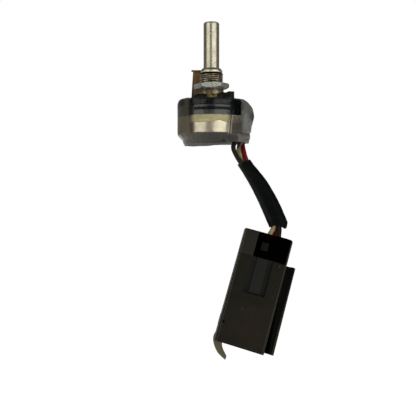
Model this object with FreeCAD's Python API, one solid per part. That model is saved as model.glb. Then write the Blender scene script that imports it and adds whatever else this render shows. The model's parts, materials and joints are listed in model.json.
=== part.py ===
# A 24 mm rotary potentiometer with an M9 threaded bushing and a 6 mm plain shaft,
# sealed in a clear heat-shrink sleeve, on a short three-wire lead that ends in a
# tilted three-way plug.
#
# Millimetres. The origin is on the shaft axis, in the plane where a panel rests on
# the bushing's flange. +Z runs up the shaft, +X is towards the terminals, and -Y is
# the front.

import FreeCAD, Part
import math
import os

from FreeCAD import Vector

OUTPUT = "parts"

# Shaft
SHAFT_R = 3.0
SHAFT_TOP_Z = 28.35
SHAFT_EDGE_R = 0.8
SHAFT_FLAT_HALF = 2.2
GROOVE_R = 2.4
RELIEF_R = 2.75
RELIEF_H = 1.2
TAIL_BELOW_HUB = 0.3
RUNNING_CLEARANCE = 0.05

# Threaded bushing, staked through the front housing
FLANGE_R = 5.5
FLANGE_T = 0.55
SHOULDER_R = 4.7
SHOULDER_H = 2.65
THREAD_R = 4.5
THREAD_H = 5.9
UNDERCUT_R = 4.05
UNDERCUT_H = 0.35
LIP_R = 4.2
LIP_H = 1.75
LIP_TOP_R = 3.5
SPIGOT_R = 4.0
STAKE_R = 4.8
STAKE_T = 0.6
STAKE_EDGE = 0.3
SHOULDER_EDGE = 0.2
LIP_CONE_SLOPE = 1.2

# Hexagonal panel nut
NUT_FLATS = 12.0
NUT_H = 1.9
NUT_ABOVE_SHOULDER = 0.2
NUT_CHAMFER = 0.42
FIT_GAP = 0.02

# Brown locating plate under the flange, with its upright arm
PLATE_T = 0.8
PLATE_FOOT_R = 6.6
ARM_FRONT_Y = 6.5
ARM_FOOT_X0 = -7.9
ARM_FOOT_X1 = -1.9
ARM_TIP_X0 = -7.1
ARM_TIP_X1 = -2.4
ARM_TOP_Z = 10.95
ARM_LIP_REACH = 1.3
ARM_LIP_OVERHANG = 0.65
ARM_LIP_T = 0.45
ARM_BEND_R = 1.0

# Front housing
HOUSING_R = 12.0
HOUSING_H = 6.3
HOUSING_STEP_DROP = 2.35
HOUSING_STEP_IN = 0.18
HOUSING_EDGE = 0.6
BOSS_R = 7.1
BOSS_H = 0.3
HOUSING_FLOOR = 2.2
HOUSING_WALL = 1.6
PEG_IN = 4.3
PEG_ANGLE = 20.6
PEG_WIDTH = 2.8
PEG_DEPTH = 2.0
PEG_H = 3.4
PEG_EDGE = 0.3
PEG_ROOT = 0.5

# Retaining ring on the shaft
RING_T = 0.6
RING_R = 4.4
RING_OPENING_ANGLE = 70.0

# Terminal board with its printed tracks
BOARD_R = HOUSING_R
BOARD_T = 1.6
BOARD_HOLE_R = 3.7
BOARD_TAB_X = BOARD_R + 0.35
BOARD_TAB_HALF = 5.3
TRACK_INNER_R = BOARD_R - 4.8
TRACK_OUTER_R = BOARD_R - 3.0
TRACK_T = 0.1
TRACK_EAR_START_ANGLE = 4.7
TRACK_EAR_R = BOARD_R - 1.25
TRACK_EAR_ANGLE = 14.0
COLLECTOR_INNER_R = 4.3
COLLECTOR_OUTER_R = 5.6
COLLECTOR_ARM_W = 2.0
COLLECTOR_ARM_IN = 0.4

# Terminals and rivets
TERMINAL_PITCH = 4.4
TERMINAL_W = 1.8
TERMINAL_T = 0.45
TERMINAL_LEG_DROP = 1.85
TERMINAL_BEND_R = 0.36
OUTER_LEG_X = BOARD_TAB_X + 0.05
MIDDLE_LEG_OUT = 1.25
RIVET_X = BOARD_R - 3.25
TERMINAL_START_X = RIVET_X - 1.15
RIVET_SHANK_R = 0.55
RIVET_HEAD_R = 0.85
RIVET_HEAD_H = 0.4
RIVET_UPPER_HEAD_H = 0.24
NOTCH_MARGIN = 0.3

# Rear can and the bead of adhesive round its open end
CAN_R = HOUSING_R - 0.5
CAN_H = 5.6
CAN_T = 0.5
CAN_EDGE_R = 0.9
DIMPLE_R = 2.6
DIMPLE_EDGE = 0.6
STOP_ANGLE = 15.0
STOP_REACH = 1.9
STOP_H = 2.2
BEAD_R = HOUSING_R
BEAD_H = 1.15
BEAD_WAVE = 0.22
BEAD_WAVES = 9
BEAD_WAVE_ANGLE = 11.2
BEAD_STRAY_ANGLE = 14.0
BEAD_STRAY_STEP = 2.3

# Rotor hub and wiper
HUB_R = 6.0
HUB_H = 3.0
HUB_DROP = 0.85
HUB_ARM_ANGLE = 14.0
HUB_ARM_ROOT = 1.0
HUB_ARM_CLEAR = 0.35
HUB_ARM_T = 1.4
WIPER_T = 0.25
WIPER_W = 1.2
WIPER_GAP = 0.05
WIPER_TRACK_R = (TRACK_INNER_R + TRACK_OUTER_R) / 2
WIPER_COLLECTOR_R = (COLLECTOR_INNER_R + COLLECTOR_OUTER_R) / 2
WIPER_FOOT = 0.9
WIPER_EDGE = 0.3

# Clear heat-shrink sleeve: round over the body, bulging over the terminals
SLEEVE_T = 0.4
SLEEVE_BULGE_R = 8.0
SLEEVE_SHIFT = -0.25
SLEEVE_GAP = 0.35
SLEEVE_TOP_Z = -1.5
SLEEVE_BOTTOM_Z = -17.85
SLEEVE_NECK_IN = 1.75
SLEEVE_NECK_STEP = 1.05
SLEEVE_RIM_IN = 0.5
SLEEVE_RIM_ROLL = 0.2
SLEEVE_RIM_EASE = 0.05
SLEEVE_END_IN = 0.55
SLEEVE_END_ABOVE_CAN = 0.6
SLEEVE_BULGE = 3.55

# Lead
WIRE_R = 0.9
OUTER_WIRE_X = OUTER_LEG_X - 0.7
MIDDLE_WIRE_X = OUTER_WIRE_X + MIDDLE_LEG_OUT
TUBE_R = 2.85
TUBE_WALL = 0.45
BLACK_ROUTE = [
    (OUTER_WIRE_X, -4.5, -10.9),
    (OUTER_WIRE_X, -4.5, -15.0),
    (9.50, -3.2, -19.4),
    (11.70, -0.56, -25.79),
    (15.72, -0.97, -31.10),
    (19.70, -1.12, -36.70),
    (23.32, -0.97, -42.68),
    (26.20, -0.56, -48.53),
    (26.14, -1.6, -53.70),
    (25.00, -1.6, -57.95),
]
WHITE_ROUTE = [
    (MIDDLE_WIRE_X, 0.0, -10.9),
    (MIDDLE_WIRE_X, 0.0, -14.9),
    (10.75, 1.3, -19.8),
    (12.50, 1.12, -25.25),
    (15.72, 0.97, -31.10),
    (18.85, 0.56, -37.16),
    (21.77, 0.0, -43.33),
    (23.20, -0.4, -46.5),
    (23.95, -0.6, -49.3),
    (23.40, -1.2, -51.5),
    (22.30, -1.55, -53.8),
    (21.65, -1.6, -56.3),
]
RED_ROUTE = [
    (OUTER_WIRE_X, 4.4, -10.9),
    (OUTER_WIRE_X, 4.4, -15.1),
    (13.10, 1.1, -19.7),
    (13.30, -0.56, -24.71),
    (17.15, 0.0, -30.20),
    (20.55, 0.56, -36.24),
    (23.32, 0.97, -42.68),
    (25.30, 1.12, -48.9),
    (24.30, 2.1, -53.0),
    (23.30, 2.2, -56.9),
]
TUBE_ROUTE = [
    (12.5, 0.0, -25.25),
    (16.2, 0.0, -30.8),
    (19.7, 0.0, -36.7),
    (22.8, 0.0, -42.9),
    (25.3, 0.0, -48.9),
]

# Plug, in its own upright frame with the wire end at height zero
PLUG_PLACE = (21.8, 0.0, -52.54)
PLUG_TILT = 15.1
PLUG_HALF_X = 9.1
PLUG_HALF_Y = 6.6
PLUG_WALL = 1.6
PLUG_BOTTOM_Z = -43.8
PLUG_EDGE = 0.45
BLOCK_VISIBLE_H = 9.5
BLOCK_CORNER_R = 0.9
SHELL_TOP_GAP = 0.15
CORE_BOTTOM_Z = -26.5
CORE_CLEARANCE = 0.15
WINDOW_X0 = -3.9
WINDOW_X1 = 7.9
WINDOW_DEPTH = 3.0
CATCH_W = 2.7
CATCH_H = 3.1
CATCH_X = -0.4
CATCH_Z = -5.0
CATCH_T = 0.9
CATCH_ROOT = 0.3
CHANNEL_X0 = -4.2
CHANNEL_X1 = 4.1
CHANNEL_BOTTOM_Z = -23.4
LATCH_X0 = -2.0
LATCH_X1 = 2.2
LATCH_T = 0.8
LATCH_RISE = 0.15
LATCH_ROOT = 0.3
LATCH_END_GAP = 0.5
RAIL_REACH = 4.1
RAIL_FRONT_Y = 0.4
RAIL_WEB_T = 1.6
RAIL_LIP_T = 1.3
RAIL_LIP_DEPTH = 4.6
RAIL_TOP_Z = -10.2
CAVITIES = {"white": (0.7, -1.6), "black": (4.5, -1.6), "red": (2.5, 2.2)}
WIRE_BORE_R = 1.35
WIRE_BORE_BOTTOM_Z = -7.6
CONTACT_HALF = 1.1
CONTACT_TOP_Z = -3.1
CONTACT_BOTTOM_Z = -21.0
CONTACT_BARREL_R = 1.15
CRIMP_DEPTH = 1.6
SOCKET_FLOOR = 2.0
CONTACT_GAP = 0.12
PIN_SLOT_HALF = 0.7

# Yellowed strap through a guide on the plug's back
STRAP_T = 0.9
STRAP_GAP = 0.1
GUIDE_TOP_Z = -35.0
GUIDE_H = 4.2
GUIDE_X0 = -9.1
GUIDE_X1 = -4.2
GUIDE_WALL = 0.9
GUIDE_OUTER_SIDE = 0.54
GUIDE_INNER_SIDE = 0.45
GUIDE_ROOT = 0.5
STRAP_EDGE_LEFT = [(-7.9, -33.5), (-8.3, -38.5), (-9.8, -44.6), (-7.1, -49.5), (-2.9, -52.1)]
STRAP_EDGE_RIGHT = [(-2.8, -50.5), (-5.6, -46.8), (-6.0, -42.0), (-5.3, -38.5), (-5.0, -33.5)]

# Levels worked out from the sizes above
PLATE_TOP_Z = -FLANGE_T
BOSS_TOP_Z = PLATE_TOP_Z - PLATE_T
FRONT_Z = BOSS_TOP_Z - BOSS_H
HOUSING_BOTTOM_Z = FRONT_Z - HOUSING_H
FLOOR_BOTTOM_Z = FRONT_Z - HOUSING_FLOOR
BUSHING_BOTTOM_Z = FLOOR_BOTTOM_Z - STAKE_T
THREAD_BASE_Z = SHOULDER_H
THREAD_TOP_Z = THREAD_BASE_Z + THREAD_H
LIP_BASE_Z = THREAD_TOP_Z + UNDERCUT_H
LIP_TOP_Z = LIP_BASE_Z + LIP_H
RING_TOP_Z = BUSHING_BOTTOM_Z - RUNNING_CLEARANCE
BOARD_BOTTOM_Z = HOUSING_BOTTOM_Z - BOARD_T
TRACK_FACE_Z = BOARD_BOTTOM_Z - TRACK_T
HUB_TOP_Z = BOARD_BOTTOM_Z - HUB_DROP
HUB_BOTTOM_Z = HUB_TOP_Z - HUB_H
CAN_BOTTOM_Z = BOARD_BOTTOM_Z - CAN_H
CAN_FLOOR_Z = CAN_BOTTOM_Z + CAN_T
SHAFT_BOTTOM_Z = HUB_BOTTOM_Z - TAIL_BELOW_HUB
NUT_BOTTOM_Z = SHOULDER_H + NUT_ABOVE_SHOULDER
CAN_INNER_R = CAN_R - CAN_T
HOUSING_INNER_R = HOUSING_R - HOUSING_WALL


def disc(radius, z_low, z_high, x=0.0, y=0.0):
    """A solid cylinder about a vertical axis."""
    return Part.makeCylinder(radius, z_high - z_low, Vector(x, y, z_low))


def ring(outer, inner, z_low, z_high):
    """A cylinder with a round hole through it."""
    return disc(outer, z_low, z_high).cut(disc(inner, z_low - 1.0, z_high + 1.0))


def block(x0, x1, y0, y1, z0, z1):
    """A box between two corners."""
    return Part.makeBox(x1 - x0, y1 - y0, z1 - z0, Vector(x0, y0, z0))


def turned(profile):
    """A solid of revolution about Z from (radius, height) points."""
    points = [Vector(r, 0, z) for r, z in profile]
    points.append(points[0])
    face = Part.Face(Part.makePolygon(points))
    return face.revolve(Vector(0, 0, 0), Vector(0, 0, 1), 360)


def sector(outer, inner, middle, half, z_low, z_high):
    """A piece of a ring, half degrees each side of the angle middle."""
    points = []
    for radius, order in ((outer, (-1, 0, 1)), (inner, (1, 0, -1))):
        for side in order:
            angle = math.radians(middle + side * half)
            points.append(Vector(radius * math.cos(angle), radius * math.sin(angle), z_low))
    edges = [
        Part.Arc(points[0], points[1], points[2]).toShape(),
        Part.LineSegment(points[2], points[3]).toShape(),
        Part.Arc(points[3], points[4], points[5]).toShape(),
        Part.LineSegment(points[5], points[0]).toShape(),
    ]
    return Part.Face(Part.Wire(edges)).extrude(Vector(0, 0, z_high - z_low))


def edges_where(shape, test):
    """The edges whose midpoint and direction pass a test."""
    found = []
    for edge in shape.Edges:
        middle = edge.valueAt((edge.FirstParameter + edge.LastParameter) / 2)
        along = edge.tangentAt((edge.FirstParameter + edge.LastParameter) / 2)
        if test(middle, along):
            found.append(edge)
    return found


def rounded(shape, radius, test):
    """The shape with the chosen edges filleted."""
    return shape.makeFillet(radius, edges_where(shape, test))


def is_upright(along):
    """True for a direction along Z."""
    return abs(along.z) > 0.99


def make_shaft():
    """Plain round shaft: rounded end, grease relief, ring groove and a flatted tail."""
    groove_low = RING_TOP_Z - RING_T - FIT_GAP
    groove_high = RING_TOP_Z + FIT_GAP
    shaft = disc(SHAFT_R, SHAFT_BOTTOM_Z, SHAFT_TOP_Z)
    shaft = rounded(shaft, SHAFT_EDGE_R, lambda mid, along: mid.z > SHAFT_TOP_Z - 0.01)
    shaft = shaft.cut(ring(SHAFT_R + 1.0, GROOVE_R, groove_low, groove_high))
    relief_top = LIP_TOP_Z + RUNNING_CLEARANCE
    shaft = shaft.cut(ring(SHAFT_R + 1.0, RELIEF_R, relief_top - RELIEF_H, relief_top))
    tail_top = BOARD_BOTTOM_Z
    for side in (-1, 1):
        near, far = sorted((side * SHAFT_FLAT_HALF, side * (SHAFT_R + 1.0)))
        flat = block(-SHAFT_R - 1, SHAFT_R + 1, near, far, SHAFT_BOTTOM_Z - 1, tail_top)
        shaft = shaft.cut(flat)
    return shaft


def make_retaining_ring():
    """Open spring ring that sits in the shaft's groove, below the bushing."""
    z_low = RING_TOP_Z - RING_T
    clip = ring(RING_R, GROOVE_R + FIT_GAP, z_low, RING_TOP_Z)
    opening = sector(RING_R + 1, 0.5, -90, RING_OPENING_ANGLE / 2, z_low - 1, RING_TOP_Z + 1)
    return clip.cut(opening)


def make_bushing():
    """Turned bushing: lip, undercut, thread diameter, shoulder, flange and staked spigot."""
    bore = SHAFT_R + RUNNING_CLEARANCE
    cone_drop = (LIP_R - LIP_TOP_R) * LIP_CONE_SLOPE
    return turned([
        (bore, BUSHING_BOTTOM_Z),
        (STAKE_R - STAKE_EDGE, BUSHING_BOTTOM_Z),
        (STAKE_R, BUSHING_BOTTOM_Z + STAKE_EDGE),
        (STAKE_R, FLOOR_BOTTOM_Z),
        (SPIGOT_R, FLOOR_BOTTOM_Z),
        (SPIGOT_R, PLATE_TOP_Z),
        (FLANGE_R, PLATE_TOP_Z),
        (FLANGE_R, 0),
        (SHOULDER_R, 0),
        (SHOULDER_R, SHOULDER_H - SHOULDER_EDGE),
        (THREAD_R, THREAD_BASE_Z),
        (THREAD_R, THREAD_TOP_Z),
        (UNDERCUT_R, THREAD_TOP_Z),
        (UNDERCUT_R, LIP_BASE_Z),
        (LIP_R, LIP_BASE_Z),
        (LIP_R, LIP_TOP_Z - cone_drop),
        (LIP_TOP_R, LIP_TOP_Z),
        (bore, LIP_TOP_Z),
    ])


def make_nut():
    """Hexagonal nut with both faces chamfered, one flat towards the front."""
    corner = NUT_FLATS / math.sqrt(3)
    top = NUT_BOTTOM_Z + NUT_H
    points = []
    for index in range(7):
        angle = math.radians(60 * index)
        points.append(Vector(corner * math.cos(angle), corner * math.sin(angle), NUT_BOTTOM_Z))
    hexagon = Part.Face(Part.makePolygon(points)).extrude(Vector(0, 0, NUT_H))
    cut_in = NUT_CHAMFER * math.sqrt(3)
    envelope = turned([
        (0, NUT_BOTTOM_Z),
        (corner - cut_in, NUT_BOTTOM_Z),
        (corner, NUT_BOTTOM_Z + NUT_CHAMFER),
        (corner, top - NUT_CHAMFER),
        (corner - cut_in, top),
        (0, top),
    ])
    nut = hexagon.common(envelope)
    return nut.cut(disc(THREAD_R + FIT_GAP, NUT_BOTTOM_Z - 1, top + 1))


def make_locating_plate():
    """Bent strip: a foot clamped under the flange, an upright arm and a folded lip."""
    arm_back = ARM_FRONT_Y + PLATE_T
    foot = disc(PLATE_FOOT_R, BOSS_TOP_Z, PLATE_TOP_Z)
    foot = foot.fuse(block(ARM_FOOT_X0, ARM_FOOT_X1, 0, arm_back, BOSS_TOP_Z, PLATE_TOP_Z))
    outline = [
        Vector(ARM_FOOT_X0, ARM_FRONT_Y, BOSS_TOP_Z),
        Vector(ARM_TIP_X0, ARM_FRONT_Y, ARM_TOP_Z),
        Vector(ARM_TIP_X1, ARM_FRONT_Y, ARM_TOP_Z),
        Vector(ARM_FOOT_X1, ARM_FRONT_Y, BOSS_TOP_Z),
        Vector(ARM_FOOT_X0, ARM_FRONT_Y, BOSS_TOP_Z),
    ]
    arm = Part.Face(Part.makePolygon(outline)).extrude(Vector(0, PLATE_T, 0))
    lip = block(ARM_TIP_X0 - ARM_LIP_OVERHANG, ARM_TIP_X1, ARM_FRONT_Y - ARM_LIP_REACH, arm_back,
                ARM_TOP_Z - ARM_LIP_T, ARM_TOP_Z)
    plate = foot.fuse(arm).fuse(lip).removeSplitter()
    plate = plate.cut(disc(SPIGOT_R + FIT_GAP, BOSS_TOP_Z - 1, PLATE_TOP_Z + 1))

    def at_heel(mid, along):
        return abs(mid.y - arm_back) < 0.01 and abs(mid.z - BOSS_TOP_Z) < 0.01 and abs(along.x) > 0.9

    return rounded(plate, ARM_BEND_R, at_heel)


def make_front_housing():
    """Moulded front: stepped wall, raised boss, inner floor and the locating peg."""
    step_z = FRONT_Z - HOUSING_STEP_DROP
    lower_r = HOUSING_R - HOUSING_STEP_IN
    housing = turned([
        (SPIGOT_R + FIT_GAP, BOSS_TOP_Z),
        (BOSS_R, BOSS_TOP_Z),
        (BOSS_R, FRONT_Z),
        (HOUSING_R - HOUSING_EDGE, FRONT_Z),
        (HOUSING_R, FRONT_Z - HOUSING_EDGE),
        (HOUSING_R, step_z),
        (lower_r, step_z - HOUSING_STEP_IN),
        (lower_r, HOUSING_BOTTOM_Z),
        (HOUSING_INNER_R, HOUSING_BOTTOM_Z),
        (HOUSING_INNER_R, FLOOR_BOTTOM_Z),
        (SPIGOT_R + FIT_GAP, FLOOR_BOTTOM_Z),
    ])
    half_notch = TERMINAL_PITCH + TERMINAL_W / 2 + NOTCH_MARGIN
    notch_top = HOUSING_BOTTOM_Z + TERMINAL_T + NOTCH_MARGIN
    housing = housing.cut(block(0, HOUSING_R + 1, -half_notch, half_notch,
                                HOUSING_BOTTOM_Z - 1, notch_top))
    peg_radius = HOUSING_R - PEG_IN
    peg = block(peg_radius - PEG_DEPTH / 2, peg_radius + PEG_DEPTH / 2,
                -PEG_WIDTH / 2, PEG_WIDTH / 2, FRONT_Z - PEG_ROOT, FRONT_Z + PEG_H)
    peg = rounded(peg, PEG_EDGE, lambda mid, along: is_upright(along) or mid.z > FRONT_Z + PEG_H - 0.01)
    peg.rotate(Vector(0, 0, 0), Vector(0, 0, 1), PEG_ANGLE)
    return housing.fuse(peg)


def rivet_places():
    """Centres of the three rivets, front to back."""
    return [(RIVET_X, row * TERMINAL_PITCH) for row in (-1, 0, 1)]


def make_terminal_board():
    """Round board with a tab for the terminals, a shaft hole and three rivet holes."""
    tab = block(0, BOARD_TAB_X, -BOARD_TAB_HALF, BOARD_TAB_HALF, BOARD_BOTTOM_Z, HOUSING_BOTTOM_Z)
    board = disc(BOARD_R, BOARD_BOTTOM_Z, HOUSING_BOTTOM_Z).fuse(tab)
    board = board.cut(disc(BOARD_HOLE_R, BOARD_BOTTOM_Z - 1, HOUSING_BOTTOM_Z + 1))
    for x, y in rivet_places():
        hole = disc(RIVET_SHANK_R + FIT_GAP, BOARD_BOTTOM_Z - 1, HOUSING_BOTTOM_Z + 1, x, y)
        board = board.cut(hole)
    return board


def rivet_clearance(shape):
    """The shape with the three rivet shanks' holes through it."""
    for x, y in rivet_places():
        shape = shape.cut(disc(RIVET_SHANK_R + FIT_GAP, TRACK_FACE_Z - 1, HOUSING_BOTTOM_Z + 2, x, y))
    return shape


def make_carbon_track():
    """Open ring of resistive film with an ear at each end for its rivet."""
    half_turn = 180
    ear_start = math.degrees(math.atan2(TERMINAL_PITCH, RIVET_X)) - TRACK_EAR_START_ANGLE
    track = sector(TRACK_OUTER_R, TRACK_INNER_R, half_turn, half_turn - ear_start,
                   TRACK_FACE_Z, BOARD_BOTTOM_Z)
    for side in (-1, 1):
        middle = side * (ear_start + TRACK_EAR_ANGLE / 2)
        ear = sector(TRACK_EAR_R, TRACK_INNER_R, middle, TRACK_EAR_ANGLE / 2,
                     TRACK_FACE_Z, BOARD_BOTTOM_Z)
        track = track.fuse(ear)
    return rivet_clearance(track.removeSplitter())


def make_collector_ring():
    """Metal ring under the wiper's inner finger, with a tongue to the middle rivet."""
    collector = ring(COLLECTOR_OUTER_R, COLLECTOR_INNER_R, TRACK_FACE_Z, BOARD_BOTTOM_Z)
    tongue = block(COLLECTOR_INNER_R + COLLECTOR_ARM_IN, RIVET_X + RIVET_HEAD_R, -COLLECTOR_ARM_W / 2,
                   COLLECTOR_ARM_W / 2, TRACK_FACE_Z, BOARD_BOTTOM_Z)
    return rivet_clearance(collector.fuse(tongue).removeSplitter())


def make_terminal(y, leg_x):
    """Bent lug: flat on the board, then down past the board's tab."""
    top = HOUSING_BOTTOM_Z + TERMINAL_T
    outer = leg_x + TERMINAL_T
    lug = block(TERMINAL_START_X, outer, y - TERMINAL_W / 2, y + TERMINAL_W / 2, HOUSING_BOTTOM_Z, top)
    leg = block(leg_x, outer, y - TERMINAL_W / 2, y + TERMINAL_W / 2,
                BOARD_BOTTOM_Z - TERMINAL_LEG_DROP, top)
    lug = lug.fuse(leg).removeSplitter()
    lug = rounded(lug, TERMINAL_BEND_R,
                  lambda mid, along: abs(mid.x - outer) < 0.01 and abs(mid.z - top) < 0.01)
    return lug.cut(disc(RIVET_SHANK_R + FIT_GAP, HOUSING_BOTTOM_Z - 1, top + 1, RIVET_X, y))


def make_rivets():
    """Three tubular rivets that hold the terminals to the board."""
    top = HOUSING_BOTTOM_Z + TERMINAL_T
    rivets = []
    for x, y in rivet_places():
        shank = disc(RIVET_SHANK_R, TRACK_FACE_Z, top, x, y)
        upper = disc(RIVET_HEAD_R, top, top + RIVET_UPPER_HEAD_H, x, y)
        lower = disc(RIVET_HEAD_R, TRACK_FACE_Z - RIVET_HEAD_H, TRACK_FACE_Z, x, y)
        rivets.append(shank.fuse(upper).fuse(lower).removeSplitter())
    return Part.makeCompound(rivets)


def make_rear_can():
    """Drawn cup with a rounded bottom edge, a shaft dimple and the rotation stop."""
    cup = disc(CAN_R, CAN_BOTTOM_Z, BOARD_BOTTOM_Z)
    cup = rounded(cup, CAN_EDGE_R, lambda mid, along: mid.z < CAN_BOTTOM_Z + 0.01)
    hollow = disc(CAN_INNER_R, CAN_FLOOR_Z, BOARD_BOTTOM_Z + 1)
    hollow = rounded(hollow, CAN_EDGE_R - CAN_T, lambda mid, along: mid.z < CAN_FLOOR_Z + 0.01)
    dimple_top = SHAFT_BOTTOM_Z - RUNNING_CLEARANCE
    dimple = turned([
        (0, CAN_FLOOR_Z - CAN_T / 2),
        (DIMPLE_R + DIMPLE_EDGE, CAN_FLOOR_Z - CAN_T / 2),
        (DIMPLE_R + DIMPLE_EDGE, CAN_FLOOR_Z),
        (DIMPLE_R, dimple_top),
        (0, dimple_top),
    ])
    stop = sector(CAN_INNER_R + CAN_T / 2, CAN_INNER_R - STOP_REACH, 0, STOP_ANGLE,
                  CAN_FLOOR_Z - CAN_T / 2, CAN_FLOOR_Z + STOP_H)
    return cup.cut(hollow).fuse(dimple).fuse(stop)


def make_adhesive_bead():
    """Bead round the joint between board and can, with an uneven lower edge."""
    bead = ring(BEAD_R, CAN_R + FIT_GAP, BOARD_BOTTOM_Z - BEAD_H, BOARD_BOTTOM_Z)
    for index in range(BEAD_WAVES):
        stray = BEAD_STRAY_ANGLE * math.sin(index * BEAD_STRAY_STEP)
        middle = math.degrees(2 * math.pi * index / BEAD_WAVES) + stray
        scallop = sector(BEAD_R + 1, CAN_R - 1, middle, BEAD_WAVE_ANGLE,
                         BOARD_BOTTOM_Z - BEAD_H - 1, BOARD_BOTTOM_Z - BEAD_H + BEAD_WAVE)
        bead = bead.cut(scallop)
    return bead


def make_rotor_hub():
    """Moulded hub on the shaft's flats, with the arm that meets the rotation stop."""
    hub = disc(HUB_R, HUB_BOTTOM_Z, HUB_TOP_Z)
    arm = sector(CAN_INNER_R - HUB_ARM_CLEAR, HUB_R - HUB_ARM_ROOT, 180, HUB_ARM_ANGLE,
                 HUB_BOTTOM_Z, HUB_BOTTOM_Z + HUB_ARM_T)
    half = SHAFT_FLAT_HALF + FIT_GAP
    bore = disc(SHAFT_R + FIT_GAP, HUB_BOTTOM_Z - 1, HUB_TOP_Z + 1)
    bore = bore.common(block(-SHAFT_R - 1, SHAFT_R + 1, -half, half, HUB_BOTTOM_Z - 1, HUB_TOP_Z + 1))
    return hub.fuse(arm).cut(bore)


def make_wiper_spring():
    """Spring plate on the hub, with one finger on the track and one on the collector."""
    contact_z = TRACK_FACE_Z - WIPER_GAP
    plate_top = HUB_TOP_Z + WIPER_T
    base = ring(HUB_R - WIPER_EDGE, SHAFT_R + WIPER_EDGE, HUB_TOP_Z, plate_top)
    half = WIPER_W / 2
    arm = block(-WIPER_TRACK_R - half, -HUB_R + WIPER_FOOT, -half, half, HUB_TOP_Z, plate_top)
    spring = base.fuse(arm)
    for reach in (WIPER_TRACK_R, WIPER_COLLECTOR_R):
        finger = block(-reach - half, -reach + half, -half, half, HUB_TOP_Z, contact_z)
        spring = spring.fuse(finger)
    return spring.removeSplitter()


def sleeve_outline(z, radius, reach, shift, inset):
    """Belt round the body's circle and the smaller circle over the terminals."""
    big = radius - inset
    small = SLEEVE_BULGE_R - inset
    centre = reach - SLEEVE_BULGE_R
    angle = math.acos((big - small) / (centre - shift))
    cosine = math.cos(angle)
    sine = math.sin(angle)
    big_top = Vector(shift + big * cosine, big * sine, z)
    big_low = Vector(shift + big * cosine, -big * sine, z)
    small_top = Vector(centre + small * cosine, small * sine, z)
    small_low = Vector(centre + small * cosine, -small * sine, z)
    return Part.Wire([
        Part.Arc(big_top, Vector(shift - big, 0, z), big_low).toShape(),
        Part.LineSegment(big_low, small_low).toShape(),
        Part.Arc(small_low, Vector(centre + small, 0, z), small_top).toShape(),
        Part.LineSegment(small_top, big_top).toShape(),
    ])


def sleeve_sections():
    """Height, body radius, reach over the terminals and sideways shift of each section."""
    over = HOUSING_R + SLEEVE_GAP + SLEEVE_T
    neck = HOUSING_R - SLEEVE_NECK_IN
    can_end = CAN_BOTTOM_Z + SLEEVE_END_ABOVE_CAN
    rows = [
        (SLEEVE_TOP_Z, over - SLEEVE_RIM_IN, 0.13, 0.0),
        (SLEEVE_TOP_Z - 0.6, over - SLEEVE_RIM_ROLL, 0.30, 0.5),
        (SLEEVE_TOP_Z - 1.4, over - SLEEVE_RIM_EASE, 0.48, 1.0),
        (SLEEVE_TOP_Z - 2.6, over, 0.73, 1.0),
        (SLEEVE_TOP_Z - 4.2, over, 0.92, 1.0),
        (HOUSING_BOTTOM_Z - 0.4, over, 1.0, 1.0),
        (BOARD_BOTTOM_Z - 1.7, over, 0.80, 1.0),
        (can_end, over - SLEEVE_RIM_EASE, 0.60, 1.0),
        (can_end - 1.1, over - SLEEVE_END_IN, 0.72, 0.5),
        (SLEEVE_BOTTOM_Z + 1.2, neck + SLEEVE_NECK_STEP, 0.93, 0.0),
        (SLEEVE_BOTTOM_Z, neck, 1.17, 0.0),
    ]
    return [(z, radius, radius + share * SLEEVE_BULGE, shift * SLEEVE_SHIFT)
            for z, radius, share, shift in rows]


def make_sleeve():
    """Thin-walled sleeve lofted through its outlines, open above and below."""
    outer = Part.makeLoft([sleeve_outline(*row, 0.0) for row in sleeve_sections()], True, False)
    inner = Part.makeLoft([sleeve_outline(*row, SLEEVE_T) for row in sleeve_sections()], True, False)
    return outer.cut(inner)


def route_path(points):
    """Straight runs joined by tangent arcs as large as their runs allow."""
    spots = [Vector(*point) for point in points]
    edges = []
    radii = []
    start = spots[0]
    for before, corner, after in zip(spots, spots[1:], spots[2:]):
        incoming = (corner - before).normalize()
        outgoing = (after - corner).normalize()
        turn = incoming.getAngle(outgoing)
        shorter = min(before.distanceToPoint(corner), corner.distanceToPoint(after))
        back = 0.45 * shorter
        radius = back / math.tan(turn / 2)
        enter = corner - incoming * back
        leave = corner + outgoing * back
        inward = (outgoing - incoming).normalize()
        bulge = radius / math.cos(turn / 2) - radius
        edges.append(Part.LineSegment(start, enter).toShape())
        edges.append(Part.Arc(enter, corner + inward * bulge, leave).toShape())
        radii.append(radius)
        start = leave
    edges.append(Part.LineSegment(start, spots[-1]).toShape())
    return Part.Wire(edges), radii


def swept(points, radius):
    """A round rod along a route."""
    path, radii = route_path(points)
    first = Vector(*points[0])
    along = (Vector(*points[1]) - first).normalize()
    circle = Part.Wire(Part.makeCircle(radius, first, along))
    return path.makePipeShell([circle], True, False), path.Length, radii


def make_wire(name, points):
    """One insulated wire, with its radii and volume printed."""
    wire, length, radii = swept(points, WIRE_R)
    expected = math.pi * WIRE_R ** 2 * length
    print(name, "length %.1f" % length, "radii", ["%.1f" % value for value in radii],
          "volume ratio %.4f" % (wire.Volume / expected))
    return wire


def make_cable_tube():
    """Black tubing over the three wires."""
    outer, length, radii = swept(TUBE_ROUTE, TUBE_R)
    inner = swept(TUBE_ROUTE, TUBE_R - TUBE_WALL)[0]
    tube = outer.cut(inner)
    expected = math.pi * (TUBE_R ** 2 - (TUBE_R - TUBE_WALL) ** 2) * length
    print("cable_tube", "length %.1f" % length, "radii", ["%.1f" % value for value in radii],
          "volume ratio %.4f" % (tube.Volume / expected))
    return tube


def in_plug_place(shape):
    """The shape moved from the plug's own frame to its tilted place on the lead."""
    placed = shape.copy()
    placed.rotate(Vector(0, 0, 0), Vector(0, 1, 0), PLUG_TILT)
    placed.translate(Vector(*PLUG_PLACE))
    return placed


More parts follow.
